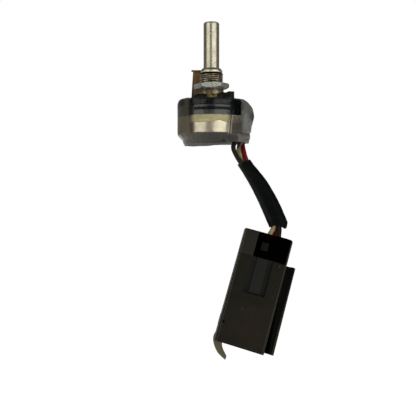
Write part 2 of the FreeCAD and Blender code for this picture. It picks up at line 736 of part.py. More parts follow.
def make_plug_block():
    """Wire end of the plug: window, catch, latch arm and the core that holds the contacts."""
    low = -BLOCK_VISIBLE_H
    head = block(-PLUG_HALF_X, PLUG_HALF_X, -PLUG_HALF_Y, PLUG_HALF_Y, low, 0)
    head = rounded(head, BLOCK_CORNER_R,
                   lambda mid, along: mid.z > -0.01 and abs(mid.x) > PLUG_HALF_X - 0.01)
    core_x = PLUG_HALF_X - PLUG_WALL - CORE_CLEARANCE
    core_y = PLUG_HALF_Y - PLUG_WALL - CORE_CLEARANCE
    core = block(-core_x, core_x, -core_y, core_y, CORE_BOTTOM_Z, low + 1)
    body = head.fuse(core)
    window_back = -PLUG_HALF_Y + WINDOW_DEPTH
    body = body.cut(block(WINDOW_X0, WINDOW_X1, -PLUG_HALF_Y - 1, window_back, low, 1))
    body = body.fuse(block(CATCH_X - CATCH_W / 2, CATCH_X + CATCH_W / 2, window_back - CATCH_T,
                           window_back + CATCH_ROOT, CATCH_Z - CATCH_H / 2, CATCH_Z + CATCH_H / 2))
    latch = block(LATCH_X0, LATCH_X1, -core_y - LATCH_T - LATCH_RISE, -core_y + LATCH_ROOT,
                  CHANNEL_BOTTOM_Z + LATCH_END_GAP, low)
    body = body.fuse(latch)
    for x, y in CAVITIES.values():
        hold = CONTACT_HALF + CONTACT_GAP
        body = body.cut(disc(WIRE_BORE_R, WIRE_BORE_BOTTOM_Z, 1, x, y))
        body = body.cut(block(x - hold, x + hold, y - hold, y + hold,
                              CONTACT_BOTTOM_Z - CONTACT_GAP, WIRE_BORE_BOTTOM_Z + 0.1))
        body = body.cut(block(x - PIN_SLOT_HALF, x + PIN_SLOT_HALF, y - PIN_SLOT_HALF,
                              y + PIN_SLOT_HALF, CORE_BOTTOM_Z - 1, CONTACT_BOTTOM_Z))
    return body


def make_plug_shell():
    """Sleeve-like shell of the plug: latch channel, side rail, strap guide and open mouth."""
    top = -BLOCK_VISIBLE_H - SHELL_TOP_GAP
    inner_x = PLUG_HALF_X - PLUG_WALL
    inner_y = PLUG_HALF_Y - PLUG_WALL
    shell = block(-PLUG_HALF_X, PLUG_HALF_X, -PLUG_HALF_Y, PLUG_HALF_Y, PLUG_BOTTOM_Z, top)
    shell = rounded(shell, PLUG_EDGE, lambda mid, along: is_upright(along))
    shell = shell.cut(block(-inner_x, inner_x, -inner_y, inner_y, PLUG_BOTTOM_Z - 1, top + 1))
    shell = shell.cut(block(CHANNEL_X0, CHANNEL_X1, -PLUG_HALF_Y - 1, 0, CHANNEL_BOTTOM_Z, top + 1))
    rail_end = PLUG_HALF_X + RAIL_REACH
    web = block(PLUG_HALF_X - PLUG_WALL / 2, rail_end, RAIL_FRONT_Y, RAIL_FRONT_Y + RAIL_WEB_T,
                PLUG_BOTTOM_Z, RAIL_TOP_Z)
    rail_lip = block(rail_end - RAIL_LIP_T, rail_end, RAIL_FRONT_Y, RAIL_FRONT_Y + RAIL_LIP_DEPTH,
                     PLUG_BOTTOM_Z, RAIL_TOP_Z)
    shell = shell.fuse(web).fuse(rail_lip)
    slot_y = PLUG_HALF_Y + STRAP_T + 2 * STRAP_GAP
    guide = block(GUIDE_X0, GUIDE_X1, PLUG_HALF_Y - GUIDE_ROOT, slot_y + GUIDE_WALL,
                  GUIDE_TOP_Z - GUIDE_H, GUIDE_TOP_Z)
    slot = block(GUIDE_X0 + GUIDE_OUTER_SIDE, GUIDE_X1 - GUIDE_INNER_SIDE, PLUG_HALF_Y, slot_y,
                 GUIDE_TOP_Z - GUIDE_H - 1, GUIDE_TOP_Z + 1)
    return shell.fuse(guide.cut(slot)).removeSplitter()


def make_contact(x, y):
    """Socket contact: a crimped barrel round the wire's end and a square socket below."""
    barrel = disc(CONTACT_BARREL_R, WIRE_BORE_BOTTOM_Z, CONTACT_TOP_Z, x, y)
    socket = block(x - CONTACT_HALF, x + CONTACT_HALF, y - CONTACT_HALF, y + CONTACT_HALF,
                   CONTACT_BOTTOM_Z, WIRE_BORE_BOTTOM_Z)
    hollow = block(x - PIN_SLOT_HALF, x + PIN_SLOT_HALF, y - PIN_SLOT_HALF, y + PIN_SLOT_HALF,
                   CONTACT_BOTTOM_Z - 1, WIRE_BORE_BOTTOM_Z - SOCKET_FLOOR)
    crimp = disc(WIRE_R + FIT_GAP, CONTACT_TOP_Z - CRIMP_DEPTH, CONTACT_TOP_Z + 1, x, y)
    return barrel.fuse(socket).cut(hollow).cut(crimp)


def make_strap():
    """Pointed strap: smooth curved edges, cut from sheet."""
    y = PLUG_HALF_Y + STRAP_GAP
    left = Part.BSplineCurve()
    left.interpolate([Vector(x, y, z) for x, z in STRAP_EDGE_LEFT])
    right = Part.BSplineCurve()
    right.interpolate([Vector(x, y, z) for x, z in STRAP_EDGE_RIGHT])
    tip = Part.LineSegment(left.EndPoint, right.StartPoint).toShape()
    root = Part.LineSegment(right.EndPoint, left.StartPoint).toShape()
    outline = Part.Wire([left.toShape(), tip, right.toShape(), root])
    return Part.Face(outline).extrude(Vector(0, STRAP_T, 0))


def build_parts():
    """Every separate piece, by name."""
    pieces = {
        "shaft": make_shaft(),
        "shaft_retaining_ring": make_retaining_ring(),
        "threaded_bushing": make_bushing(),
        "panel_nut": make_nut(),
        "locating_plate": make_locating_plate(),
        "front_housing": make_front_housing(),
        "terminal_board": make_terminal_board(),
        "carbon_track": make_carbon_track(),
        "collector_ring": make_collector_ring(),
        "terminal_black": make_terminal(-TERMINAL_PITCH, OUTER_LEG_X),
        "terminal_white": make_terminal(0.0, OUTER_LEG_X + MIDDLE_LEG_OUT),
        "terminal_red": make_terminal(TERMINAL_PITCH, OUTER_LEG_X),
        "terminal_rivets": make_rivets(),
        "rear_can": make_rear_can(),
        "adhesive_bead": make_adhesive_bead(),
        "rotor_hub": make_rotor_hub(),
        "wiper_spring": make_wiper_spring(),
        "heat_shrink_sleeve": make_sleeve(),
        "wire_black": make_wire("wire_black", BLACK_ROUTE),
        "wire_white": make_wire("wire_white", WHITE_ROUTE),
        "wire_red": make_wire("wire_red", RED_ROUTE),
        "cable_tube": make_cable_tube(),
        "plug_block": in_plug_place(make_plug_block()),
        "plug_shell": in_plug_place(make_plug_shell()),
        "plug_strap": in_plug_place(make_strap()),
    }
    for colour, (x, y) in CAVITIES.items():
        pieces["contact_" + colour] = in_plug_place(make_contact(x, y))
    return pieces


os.makedirs(OUTPUT, exist_ok=True)
for name, shape in build_parts().items():
    if shape.ShapeType == "Compound" and len(shape.Solids) == 1:
        shape = shape.Solids[0]
    shape.exportStep(OUTPUT + "/" + name + ".step")
    print(name, "solids", len(shape.Solids), "valid", shape.isValid(), "volume %.2f" % shape.Volume)
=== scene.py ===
"""Panel potentiometer in a clear sleeve, on a three-wire lead with a plug.

Lengths in the tables are millimetres, but for the stage's, and become metres in a mesh.
+Z runs up the shaft, +X is towards the terminals, and the camera looks along +Y.
"""
import json
import math

import bmesh
import bpy
from mathutils import Matrix, Vector
from mathutils import noise as smooth_noise


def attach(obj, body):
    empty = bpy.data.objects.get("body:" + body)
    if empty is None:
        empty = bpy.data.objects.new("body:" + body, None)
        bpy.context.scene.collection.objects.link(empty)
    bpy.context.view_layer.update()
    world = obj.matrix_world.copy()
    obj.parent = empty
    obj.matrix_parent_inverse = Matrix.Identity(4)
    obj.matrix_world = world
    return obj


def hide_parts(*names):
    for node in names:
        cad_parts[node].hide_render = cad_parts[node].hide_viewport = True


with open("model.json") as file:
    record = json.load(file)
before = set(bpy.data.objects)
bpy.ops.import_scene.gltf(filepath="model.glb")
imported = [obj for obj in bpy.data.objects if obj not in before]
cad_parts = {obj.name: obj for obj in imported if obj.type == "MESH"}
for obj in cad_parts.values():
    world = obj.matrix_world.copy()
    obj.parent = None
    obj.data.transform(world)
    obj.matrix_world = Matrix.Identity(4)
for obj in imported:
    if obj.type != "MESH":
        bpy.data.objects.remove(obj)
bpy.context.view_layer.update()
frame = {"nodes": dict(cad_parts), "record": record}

MM = 0.001
TURN = 2 * math.pi
HOUSING = "housing"

# Turned and moulded body, as in the part's source
FLANGE_R, FLANGE_T = 5.5, 0.55
SHOULDER_R, SHOULDER_H = 4.7, 2.65
THREAD_R, THREAD_H, THREAD_PITCH, THREAD_DEPTH = 4.5, 5.9, 0.75, 0.42
UNDERCUT_R, UNDERCUT_H = 4.05, 0.35
LIP_R, LIP_H, LIP_TOP_R = 4.2, 1.75, 3.5
SPIGOT_R, STAKE_R, STAKE_Z, STAKE_END_Z = 4.0, 4.8, -3.85, -4.45
BORE_R = 3.05
NUT_APOTHEM, NUT_LOW_Z, NUT_H, NUT_CHAMFER = 6.0, 2.85, 1.9, 0.5
NUT_TOP_CHAMFER = 0.24
NUT_TILT = math.radians(-1.5)
BOARD_LOW_Z, CAN_LOW_Z = -9.55, -15.15
BODY_R, CAN_R = 12.0, 11.5

# The locating peg, and how much the photo's is wider and taller than the solid
PEG_X, PEG_Y, PEG_REACH, PEG_ROOT_Z = 7.2, 2.7, 1.85, -1.7
PEG_WIDER, PEG_TALLER = 0.2, 0.5

# Sleeve sections: height, radius over the body, reach over the terminals, shift
SLEEVE_WALL = 0.4
SLEEVE_BULGE_R = 8.0
SLEEVE_ROWS = [
    (-1.50, 12.25, 12.71, 0.0),
    (-2.10, 12.55, 13.62, -0.13),
    (-2.90, 12.70, 14.40, -0.25),
    (-4.10, 12.75, 15.34, -0.25),
    (-5.70, 12.75, 16.02, -0.25),
    (-8.35, 12.75, 16.30, -0.25),
    (-11.25, 12.75, 15.59, -0.25),
    (-14.55, 12.70, 14.83, -0.25),
    (-15.65, 12.20, 14.76, -0.13),
    (-16.65, 11.30, 14.60, 0.0),
    (-17.85, 10.25, 14.40, 0.0),
]
SLEEVE_TOP_Z, SLEEVE_LOW_Z = SLEEVE_ROWS[0][0], SLEEVE_ROWS[-1][0]

# Lead
WIRE_R = 0.9
TUBE_WALL = 0.45
BLACK_ROUTE = [
    (11.7, -4.5, -10.9), (11.9, -4.6, -15.4), (8.6, -3.9, -18.0), (8.1, -3.4, -20.0),
    (9.7, -2.6, -23.2), (12.4, -0.9, -27.2), (15.72, -0.97, -31.10), (19.70, -1.12, -36.70),
    (23.32, -0.97, -42.68), (26.10, -0.56, -48.53), (25.75, -1.6, -53.70), (25.00, -1.6, -57.95),
]
WHITE_ROUTE = [
    (12.95, 0.0, -10.9), (12.95, 0.0, -14.9), (9.75, 0.2, -19.9), (12.6, 1.12, -25.25),
    (15.72, 0.97, -31.10), (18.85, 0.56, -37.16), (21.77, 0.0, -43.33), (23.20, -0.4, -46.5),
    (23.95, -0.6, -49.3), (23.2, -1.2, -51.3), (21.8, -1.55, -53.2), (21.65, -1.6, -56.3),
]
RED_ROUTE = [
    (11.7, 4.4, -10.9), (11.7, 4.4, -15.1), (12.1, 1.1, -19.7), (13.3, -0.56, -24.71),
    (17.15, 0.0, -30.20), (20.55, 0.56, -36.24), (23.32, 0.97, -42.68), (25.30, 1.12, -48.9),
    (24.30, 2.1, -53.0), (23.30, 2.2, -56.9),
]
TUBE_ROUTE = [
    (12.5, 0.0, -25.25), (16.2, 0.0, -30.8), (19.7, 0.0, -36.7), (22.8, 0.0, -42.9),
    (25.3, 0.0, -48.9),
]
WIRES = {
    "wire_black": (BLACK_ROUTE, 52.6, "black_insulation"),
    "wire_white": (WHITE_ROUTE, 49.1, "cream_insulation"),
    "wire_red": (RED_ROUTE, 50.4, "red_insulation"),
}

# Plug frame: tilt about Y and place of its wire end
PLUG_PLACE = (21.8, 0.0, -52.54)
PLUG_TILT = math.radians(15.1)
PLUG_HALF_X, PLUG_LENGTH = 9.1, 43.8
PLUG_END_SLANT = 0.7
STRAP_FRONT_Y, STRAP_T = 6.7, 0.9
STRAP_LEFT = [(-7.9, -33.5), (-8.3, -38.5), (-9.8, -44.6), (-7.1, -49.5), (-2.9, -52.1)]
STRAP_RIGHT = [(-5.0, -33.5), (-5.3, -38.5), (-6.0, -42.0), (-5.6, -46.8), (-2.8, -50.5)]
STRAP_EDGE, STRAP_BOW = 0.25, 0.25

# Stage, in metres: softboxes by azimuth, elevation, width, height and power
FLOOR_Z, FLOOR_HALF = -0.26, 3.0
LIGHT_TARGET, LIGHT_AWAY = (0.005, 0.0, -0.035), 0.6
SOFTBOXES = {
    "soft_left": (-47.5, 18.0, 0.58, 0.7, 1.6),
    "soft_right": (41.0, 16.0, 0.77, 0.7, 2.6),
}
EYE_PLACE = (-0.0013, -0.340, -0.04265)
EYE_LENS, EYE_SENSOR = 76.85, 36.0


# Meshes

def new_object(name, data):
    """Links a mesh, curve, light or camera into the scene under a name."""
    piece = bpy.data.objects.new(name, data)
    bpy.context.collection.objects.link(piece)
    return piece


def mesh_object(name, points, faces, sharp=40.0):
    """Object from points in millimetres; edges over the sharp angle stay crisp."""
    mesh = bpy.data.meshes.new(name)
    mesh.from_pydata([[value * MM for value in point] for point in points], [], faces)
    work = bmesh.new()
    work.from_mesh(mesh)
    bmesh.ops.recalc_face_normals(work, faces=work.faces)
    work.to_mesh(mesh)
    work.free()
    mesh.shade_smooth()
    mesh.set_sharp_from_angle(angle=math.radians(sharp))
    return new_object(name, mesh)


def grid_faces(rows, columns, wrap_rows=False):
    """Quads over rows of points whose columns close on themselves."""
    faces = []
    for row in range(rows if wrap_rows else rows - 1):
        upper = (row + 1) % rows
        for column in range(columns):
            after = (column + 1) % columns
            faces.append((row * columns + column, row * columns + after,
                          upper * columns + after, upper * columns + column))
    return faces


def polar_solid(name, profile, radius_at, columns, sharp=40.0):
    """Closed solid round Z: each profile row (radius, height) is shaped by radius_at."""
    points = []
    for radius, height in profile:
        for column in range(columns):
            angle = TURN * column / columns
            reach = radius_at(radius, height, angle)
            points.append((reach * math.cos(angle), reach * math.sin(angle), height))
    return mesh_object(name, points, grid_faces(len(profile), columns, True), sharp)


def between(low, high, steps):
    """Evenly spaced values from low to high, both included."""
    return [low + (high - low) * step / steps for step in range(steps + 1)]


def ease(low, high, value):
    """0 below low, 1 above high, and a smooth rise in between."""
    share = min(1.0, max(0.0, (value - low) / (high - low)))
    return share * share * (3 - 2 * share)


def wander(x, y, z, size):
    """Smooth noise from about -1 to 1 with features of the given size."""
    return smooth_noise.noise(Vector((x, y, z)) / size)


def wander_round(reach, angle, z, size):
    """The same noise, followed round a circle."""
    return wander(reach * math.cos(angle), reach * math.sin(angle), z, size)


def paint(piece, name, values):
    """Keeps one number for each point, under a name that a material reads."""
    layer = piece.data.attributes.new(name, "FLOAT", "POINT")
    layer.data.foreach_set("value", values)


def cubic_rows(rows, steps):
    """Rows of numbers run through by a smooth curve, steps to a span."""
    fine = []
    for index in range(len(rows) - 1):
        before = rows[max(index - 1, 0)]
        after = rows[min(index + 2, len(rows) - 1)]
        for step in range(steps):
            t = step / steps
            fine.append([
                0.5 * (2 * b + (c - a) * t + (2 * a - 5 * b + 4 * c - d) * t * t
                       + (3 * b - a - 3 * c + d) * t ** 3)
                for a, b, c, d in zip(before, rows[index], rows[index + 1], after)
            ])
    fine.append(list(rows[-1]))
    return fine


def rounded_copy(node, width):
    """Copy of a CAD node's mesh with its edges rounded, to stand for it."""
    mesh = frame["nodes"][node].data.copy()
    work = bmesh.new()
    work.from_mesh(mesh)
    bmesh.ops.remove_doubles(work, verts=work.verts, dist=1e-6)
    bmesh.ops.dissolve_limit(work, angle_limit=math.radians(1.0), verts=work.verts,
                             edges=work.edges)
    bmesh.ops.recalc_face_normals(work, faces=work.faces)
    work.to_mesh(mesh)
    work.free()
    mesh.materials.clear()
    mesh.shade_smooth()
    piece = new_object(node + "_moulded", mesh)
    bevel = piece.modifiers.new("Edges", "BEVEL")
    bevel.width = width * MM
    bevel.segments = 3
    bevel.limit_method = "ANGLE"
    bevel.angle_limit = math.radians(35.0)
    bevel.use_clamp_overlap = True
    bevel.harden_normals = True
    return piece


def carry(piece, slot, node=None):
    """Gives a piece its finish and body, and hides the CAD node that it stands for, if one is given."""
    piece.data.materials.clear()
    piece.data.materials.append(materials[slot])
    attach(piece, HOUSING)
    if node:
        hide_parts(node)
    return piece


# Materials

class Nodes:
    """Short calls that add nodes to a tree."""

    def __init__(self, tree):
        self.tree = tree

    def feed(self, target, value):
        """Links a texture to a socket, or sets the socket's own value."""
        if isinstance(value, bpy.types.NodeSocket):
            self.tree.links.new(value, target)
        elif target.type == "RGBA":
            target.default_value = (*value, 1.0)
        else:
            target.default_value = value

    def node(self, kind, inputs, **settings):
        """A node with its settings and inputs given."""
        node = self.tree.nodes.new(kind)
        for key, value in settings.items():
            setattr(node, key, value)
        for key, value in inputs.items():
            self.feed(node.inputs[key], value)
        return node

    def split(self, place):
        """Coordinates by axis name."""
        return self.node("ShaderNodeSeparateXYZ", {"Vector": place}).outputs

    def blend(self, factor, stops):
        """Colour or value ramp: stops are (place, colour or number)."""
        node = self.node("ShaderNodeValToRGB", {"Fac": factor})
        ramp = node.color_ramp
        while len(ramp.elements) < len(stops):
            ramp.elements.new(0.5)
        for element, (place, value) in zip(ramp.elements, stops):
            element.position = place
            colour = value if isinstance(value, tuple) else (value,) * 3
            element.color = (*colour, 1.0)
        return node.outputs["Color"]

    def span(self, value, low, high, to_low=0.0, to_high=1.0):
        """Value mapped from one range to another and held at its ends."""
        return self.node("ShaderNodeMapRange", {"Value": value, "From Min": low, "From Max": high,
                                                "To Min": to_low, "To Max": to_high}).outputs[0]

    def rise(self, length, low, high, to_low=0.0, to_high=1.0):
        """A length in metres mapped like span, from a range in millimetres."""
        return self.span(length, low * MM, high * MM, to_low, to_high)

    def mix(self, factor, first, second):
        """Two colours mixed; a colour mix node takes them at sockets 6 and 7."""
        inputs = {"Factor": factor, 6: first, 7: second}
        return self.node("ShaderNodeMix", inputs, data_type="RGBA").outputs[2]

    def maths(self, operation, first, second):
        """One arithmetic step."""
        return self.node("ShaderNodeMath", {0: first, 1: second}, operation=operation).outputs[0]

    def times(self, first, *others):
        """Values multiplied."""
        for other in others:
            first = self.maths("MULTIPLY", first, other)
        return first

    def largest(self, first, *others):
        """The largest of the values."""
        for other in others:
            first = self.maths("MAXIMUM", first, other)
        return first


class Finish(Nodes):
    """A principled material for a slot, with calls for the textures that feed it."""

    def __init__(self, slot, **sockets):
        self.slot = slot
        self.material = bpy.data.materials.new(slot)
        self.material.use_nodes = True
        super().__init__(self.material.node_tree)
        self.shader = self.tree.nodes["Principled BSDF"]
        self.place = self.node("ShaderNodeTexCoord", {}).outputs["Object"]
        for socket, value in sockets.items():
            self.set(socket.replace("_", " "), value)

    def set(self, socket, value):
        """Sets a socket of the shader, or links a texture to it."""
        self.feed(self.shader.inputs[socket], value)

    def stretched(self, x, y, z):
        """Coordinates scaled along each axis."""
        return self.node("ShaderNodeMapping", {"Vector": self.place, "Scale": (x, y, z)}).outputs[0]

    def noise(self, per_mm, detail=4.0, rough=0.55, place=None):
        """Fractal noise with so many features to a millimetre."""
        inputs = {"Vector": place or self.place, "Scale": per_mm / MM, "Detail": detail,
                  "Roughness": rough}
        return self.node("ShaderNodeTexNoise", inputs).outputs["Fac"]

    def cells(self, per_mm):
        """Distance to the nearest of scattered points."""
        inputs = {"Vector": self.place, "Scale": per_mm / MM}
        return self.node("ShaderNodeTexVoronoi", inputs).outputs["Distance"]

    def painted(self, name):
        """The number that a mesh keeps for each point under a name."""
        return self.node("ShaderNodeAttribute", {}, attribute_name=name).outputs["Fac"]

    def axes(self, place=None):
        """Coordinates in metres by axis name, in the part's frame if no other is given."""
        return self.split(place or self.place)

    def inside(self, axes, soft=0.15, **limits):
        """1 between the limits of each axis, given in millimetres, and 0 past a soft edge."""
        mask = None
        for axis, (low, high) in limits.items():
            for edge, outward in ((low, -soft), (high, soft)):
                if edge is None:
                    continue
                side = self.rise(axes[axis], edge + outward, edge)
                mask = side if mask is None else self.times(mask, side)
        return mask

    def line(self, value, place, half_width):
        """A soft line where a value in metres passes a place in millimetres."""
        away = self.maths("ABSOLUTE", self.maths("SUBTRACT", value, place * MM), 0.0)
        return self.rise(away, half_width * 0.5, half_width * 1.3, 1.0, 0.0)

    def bump(self, height, depth_mm, strength, under=None):
        """Relief of the given depth, laid over another one if given."""
        inputs = {"Height": height, "Distance": depth_mm * MM, "Strength": strength}
        if under is not None:
            inputs["Normal"] = under
        return self.node("ShaderNodeBump", inputs).outputs[0]


def turned_metal(slot, dark, light, stain, rough, stain_low=0.56, stain_high=0.72, shade_z=None):
    """Plated metal with fine turning marks, tarnish and dull spots, shaded below shade_z."""
    finish = Finish(slot, Metallic=1.0)
    marks = finish.noise(0.35, 5.0, 0.6, finish.stretched(1.0, 1.0, 14.0))
    cloud = finish.noise(0.25, 4.0, 0.6)
    spots = finish.span(finish.noise(0.9, 5.0, 0.7), stain_low, stain_high)
    colour = finish.mix(spots, finish.blend(cloud, [(0.32, dark), (0.7, light)]), stain)
    if shade_z is not None:
        low = finish.rise(finish.axes()["Z"], shade_z, shade_z - 0.15)
        colour = finish.mix(low, colour, (0.03, 0.026, 0.018))
    finish.set("Base Color", colour)
    finish.set("Roughness", finish.span(cloud, 0.3, 0.75, rough + 0.12, rough - 0.04))
    finish.set("Normal", finish.bump(marks, 0.002, 0.13))
    return finish


def soft_tubing():
    """Soft black tubing, paler along its creases and edges: painted sheen with rubbed wear."""
    finish = Finish("black_tube", Specular_IOR_Level=0.04)
    sheen_and_rub = finish.painted("sheen_and_rub")
    cloud = finish.noise(0.4, 4.0, 0.6)
    colour = finish.blend(cloud, [(0.35, (0.0004, 0.0009, 0.001)), (0.65, (0.0016, 0.0028, 0.0029))])
    # Painted sheen with wear: paler along the tube's edges and creases, broken up by noise.
    sheen_and_wear = finish.times(sheen_and_rub, finish.span(cloud, 0.3, 0.6, 0.4, 1.0))
    finish.set("Base Color", finish.mix(sheen_and_wear, colour, (0.0125, 0.015, 0.011)))
    finish.set("Roughness", finish.span(cloud, 0.3, 0.7, 0.5, 0.38))
    finish.set("Normal", finish.bump(finish.noise(1.5, 3.0), 0.02, 0.5))
    return finish


def bushing_metal():
    """Worn nickel over brass: bright lip, grime in the thread's roots and the undercut."""
    finish = Finish("nickel_bushing", Metallic=1.0)
    cloud = finish.noise(0.45, 5.0, 0.6)
    axes = finish.axes()
    flat = finish.node("ShaderNodeCombineXYZ", {"X": axes["X"], "Y": axes["Y"]}).outputs[0]
    radius = finish.node("ShaderNodeVectorMath", {0: flat}, operation="LENGTH").outputs["Value"]
    root = finish.rise(radius, 4.18, 4.44, 1.0, 0.0)
    threaded = finish.times(finish.rise(axes["Z"], 2.6, 2.9), finish.rise(axes["Z"], 8.8, 8.9, 1.0, 0.0))
    undercut = finish.times(finish.rise(axes["Z"], 8.0, 8.3), finish.rise(axes["Z"], 8.95, 9.1, 1.0, 0.0))
    low = finish.rise(axes["Z"], 0.7, -0.1)
    grime = finish.largest(finish.times(root, threaded), undercut, low)
    brass = finish.blend(cloud, [(0.34, (0.08, 0.058, 0.028)), (0.5, (0.29, 0.245, 0.165)),
                                 (0.68, (0.58, 0.51, 0.39))])
    bright = finish.blend(cloud, [(0.3, (0.4, 0.37, 0.28)), (0.7, (0.6, 0.56, 0.45))])
    colour = finish.mix(finish.rise(axes["Z"], 8.9, 9.2), brass, bright)
    finish.set("Base Color", finish.mix(grime, colour, (0.012, 0.009, 0.005)))
    finish.set("Roughness", finish.span(cloud, 0.3, 0.7, 0.42, 0.26))
    finish.set("Normal", finish.bump(cloud, 0.01, 0.4))
    return finish


def zinc():
    """Mottled zinc plate with a spangled grain, dirt, and painted shade on the nut's right side."""
    finish = Finish("zinc_nut", Metallic=0.55)
    grain = finish.cells(1.9)
    cloud = finish.noise(0.6, 5.0, 0.65)
    colour = finish.blend(grain, [(0.05, (0.62, 0.65, 0.59)), (0.6, (0.3, 0.32, 0.28))])
    # Painted shade: the nut's right side is darkened towards the dirt colour.
    right_side_shade = finish.rise(finish.axes()["X"], 3.6, 4.4, 0.0, 0.6)
    dirt_and_shade = finish.largest(finish.span(cloud, 0.55, 0.72), right_side_shade)
    finish.set("Base Color", finish.mix(dirt_and_shade, colour, (0.12, 0.11, 0.08)))
    finish.set("Roughness", finish.span(grain, 0.0, 0.7, 0.38, 0.6))
    finish.set("Normal", finish.bump(cloud, 0.05, 0.6))
    return finish


def brown_sheet():
    """Brown oxidised sheet, darker low down and scuffed."""
    finish = Finish("brown_plate", Metallic=0.35, Roughness=0.48)
    streaks = finish.noise(0.5, 5.0, 0.6, finish.stretched(1.0, 1.0, 0.25))
    low = finish.rise(finish.axes()["Z"], -1.0, 9.0)
    colour = finish.blend(streaks, [(0.3, (0.13, 0.066, 0.016)), (0.75, (0.24, 0.128, 0.032))])
    edge = finish.rise(finish.axes()["X"], -6.9, -7.1)
    colour = finish.mix(edge, finish.mix(low, (0.085, 0.046, 0.014), colour), (0.018, 0.008, 0.003))
    finish.set("Base Color", colour)
    finish.set("Normal", finish.bump(streaks, 0.03, 0.5))
    return finish


def moulded(slot, dark, light, rough):
    """Moulded plastic: faint cloudy colour and fine grain."""
    finish = Finish(slot)
    cloud = finish.noise(0.12, 5.0, 0.6)
    finish.set("Base Color", finish.blend(cloud, [(0.3, dark), (0.72, light)]))
    finish.set("Roughness", finish.span(cloud, 0.25, 0.75, rough + 0.08, rough - 0.08))
    finish.set("Normal", finish.bump(finish.noise(2.5, 3.0, 0.6), 0.01, 0.5))
    return finish


def residue():
    """Dark residue, with patches of painted brass glint at the front."""
    finish = Finish("grime", Specular_IOR_Level=0.08, Roughness=0.5)
    cloud = finish.noise(0.35, 5.0, 0.6)
    colour = finish.blend(cloud, [(0.38, (0.001, 0.0008, 0.0005)), (0.72, (0.02, 0.014, 0.005))])
    # Painted highlights: brass-coloured glints in patches at the front.
    glint_patch = finish.inside(finish.axes(), soft=0.7, X=(-1.4, 1.9), Y=(None, -4.0))
    glint_patch = finish.times(glint_patch, finish.span(finish.noise(0.8, 3.0), 0.42, 0.55))
    finish.set("Base Color", finish.mix(glint_patch, colour, (0.2, 0.15, 0.06)))
    finish.set("Normal", finish.bump(cloud, 0.1, 0.5))
    return finish


def black_shell():
    """Black moulding with a scuffed line and a duller band round it."""
    finish = Finish("black_moulding")
    axes = finish.axes()
    cloud = finish.noise(0.3, 4.0, 0.6)
    wavy = finish.maths("ADD", axes["Z"], finish.times(cloud, 0.4 * MM))
    line = finish.times(finish.line(wavy, -4.35, 0.16), finish.inside(axes, X=(-8.0, 6.9)))
    band = finish.inside({"X": axes["X"], "Z": wavy}, Z=(-5.85, -4.95), X=(-6.3, 7.3))
    colour = finish.blend(cloud, [(0.35, (0.002, 0.0035, 0.004)), (0.7, (0.006, 0.009, 0.01))])
    finish.set("Base Color", finish.mix(line, colour, (0.07, 0.078, 0.074)))
    dull = finish.largest(band, finish.rise(axes["Z"], -1.6, -1.4),
                          finish.rise(axes["Z"], -4.4, -4.2, 0.0, 0.6))
    finish.set("Specular IOR Level", finish.span(dull, 0.0, 1.0, 0.55, 0.08))
    finish.set("Roughness", finish.span(cloud, 0.25, 0.75, 0.13, 0.2))
    finish.set("Normal", finish.bump(finish.noise(2.5, 3.0), 0.008, 0.4))
    return finish


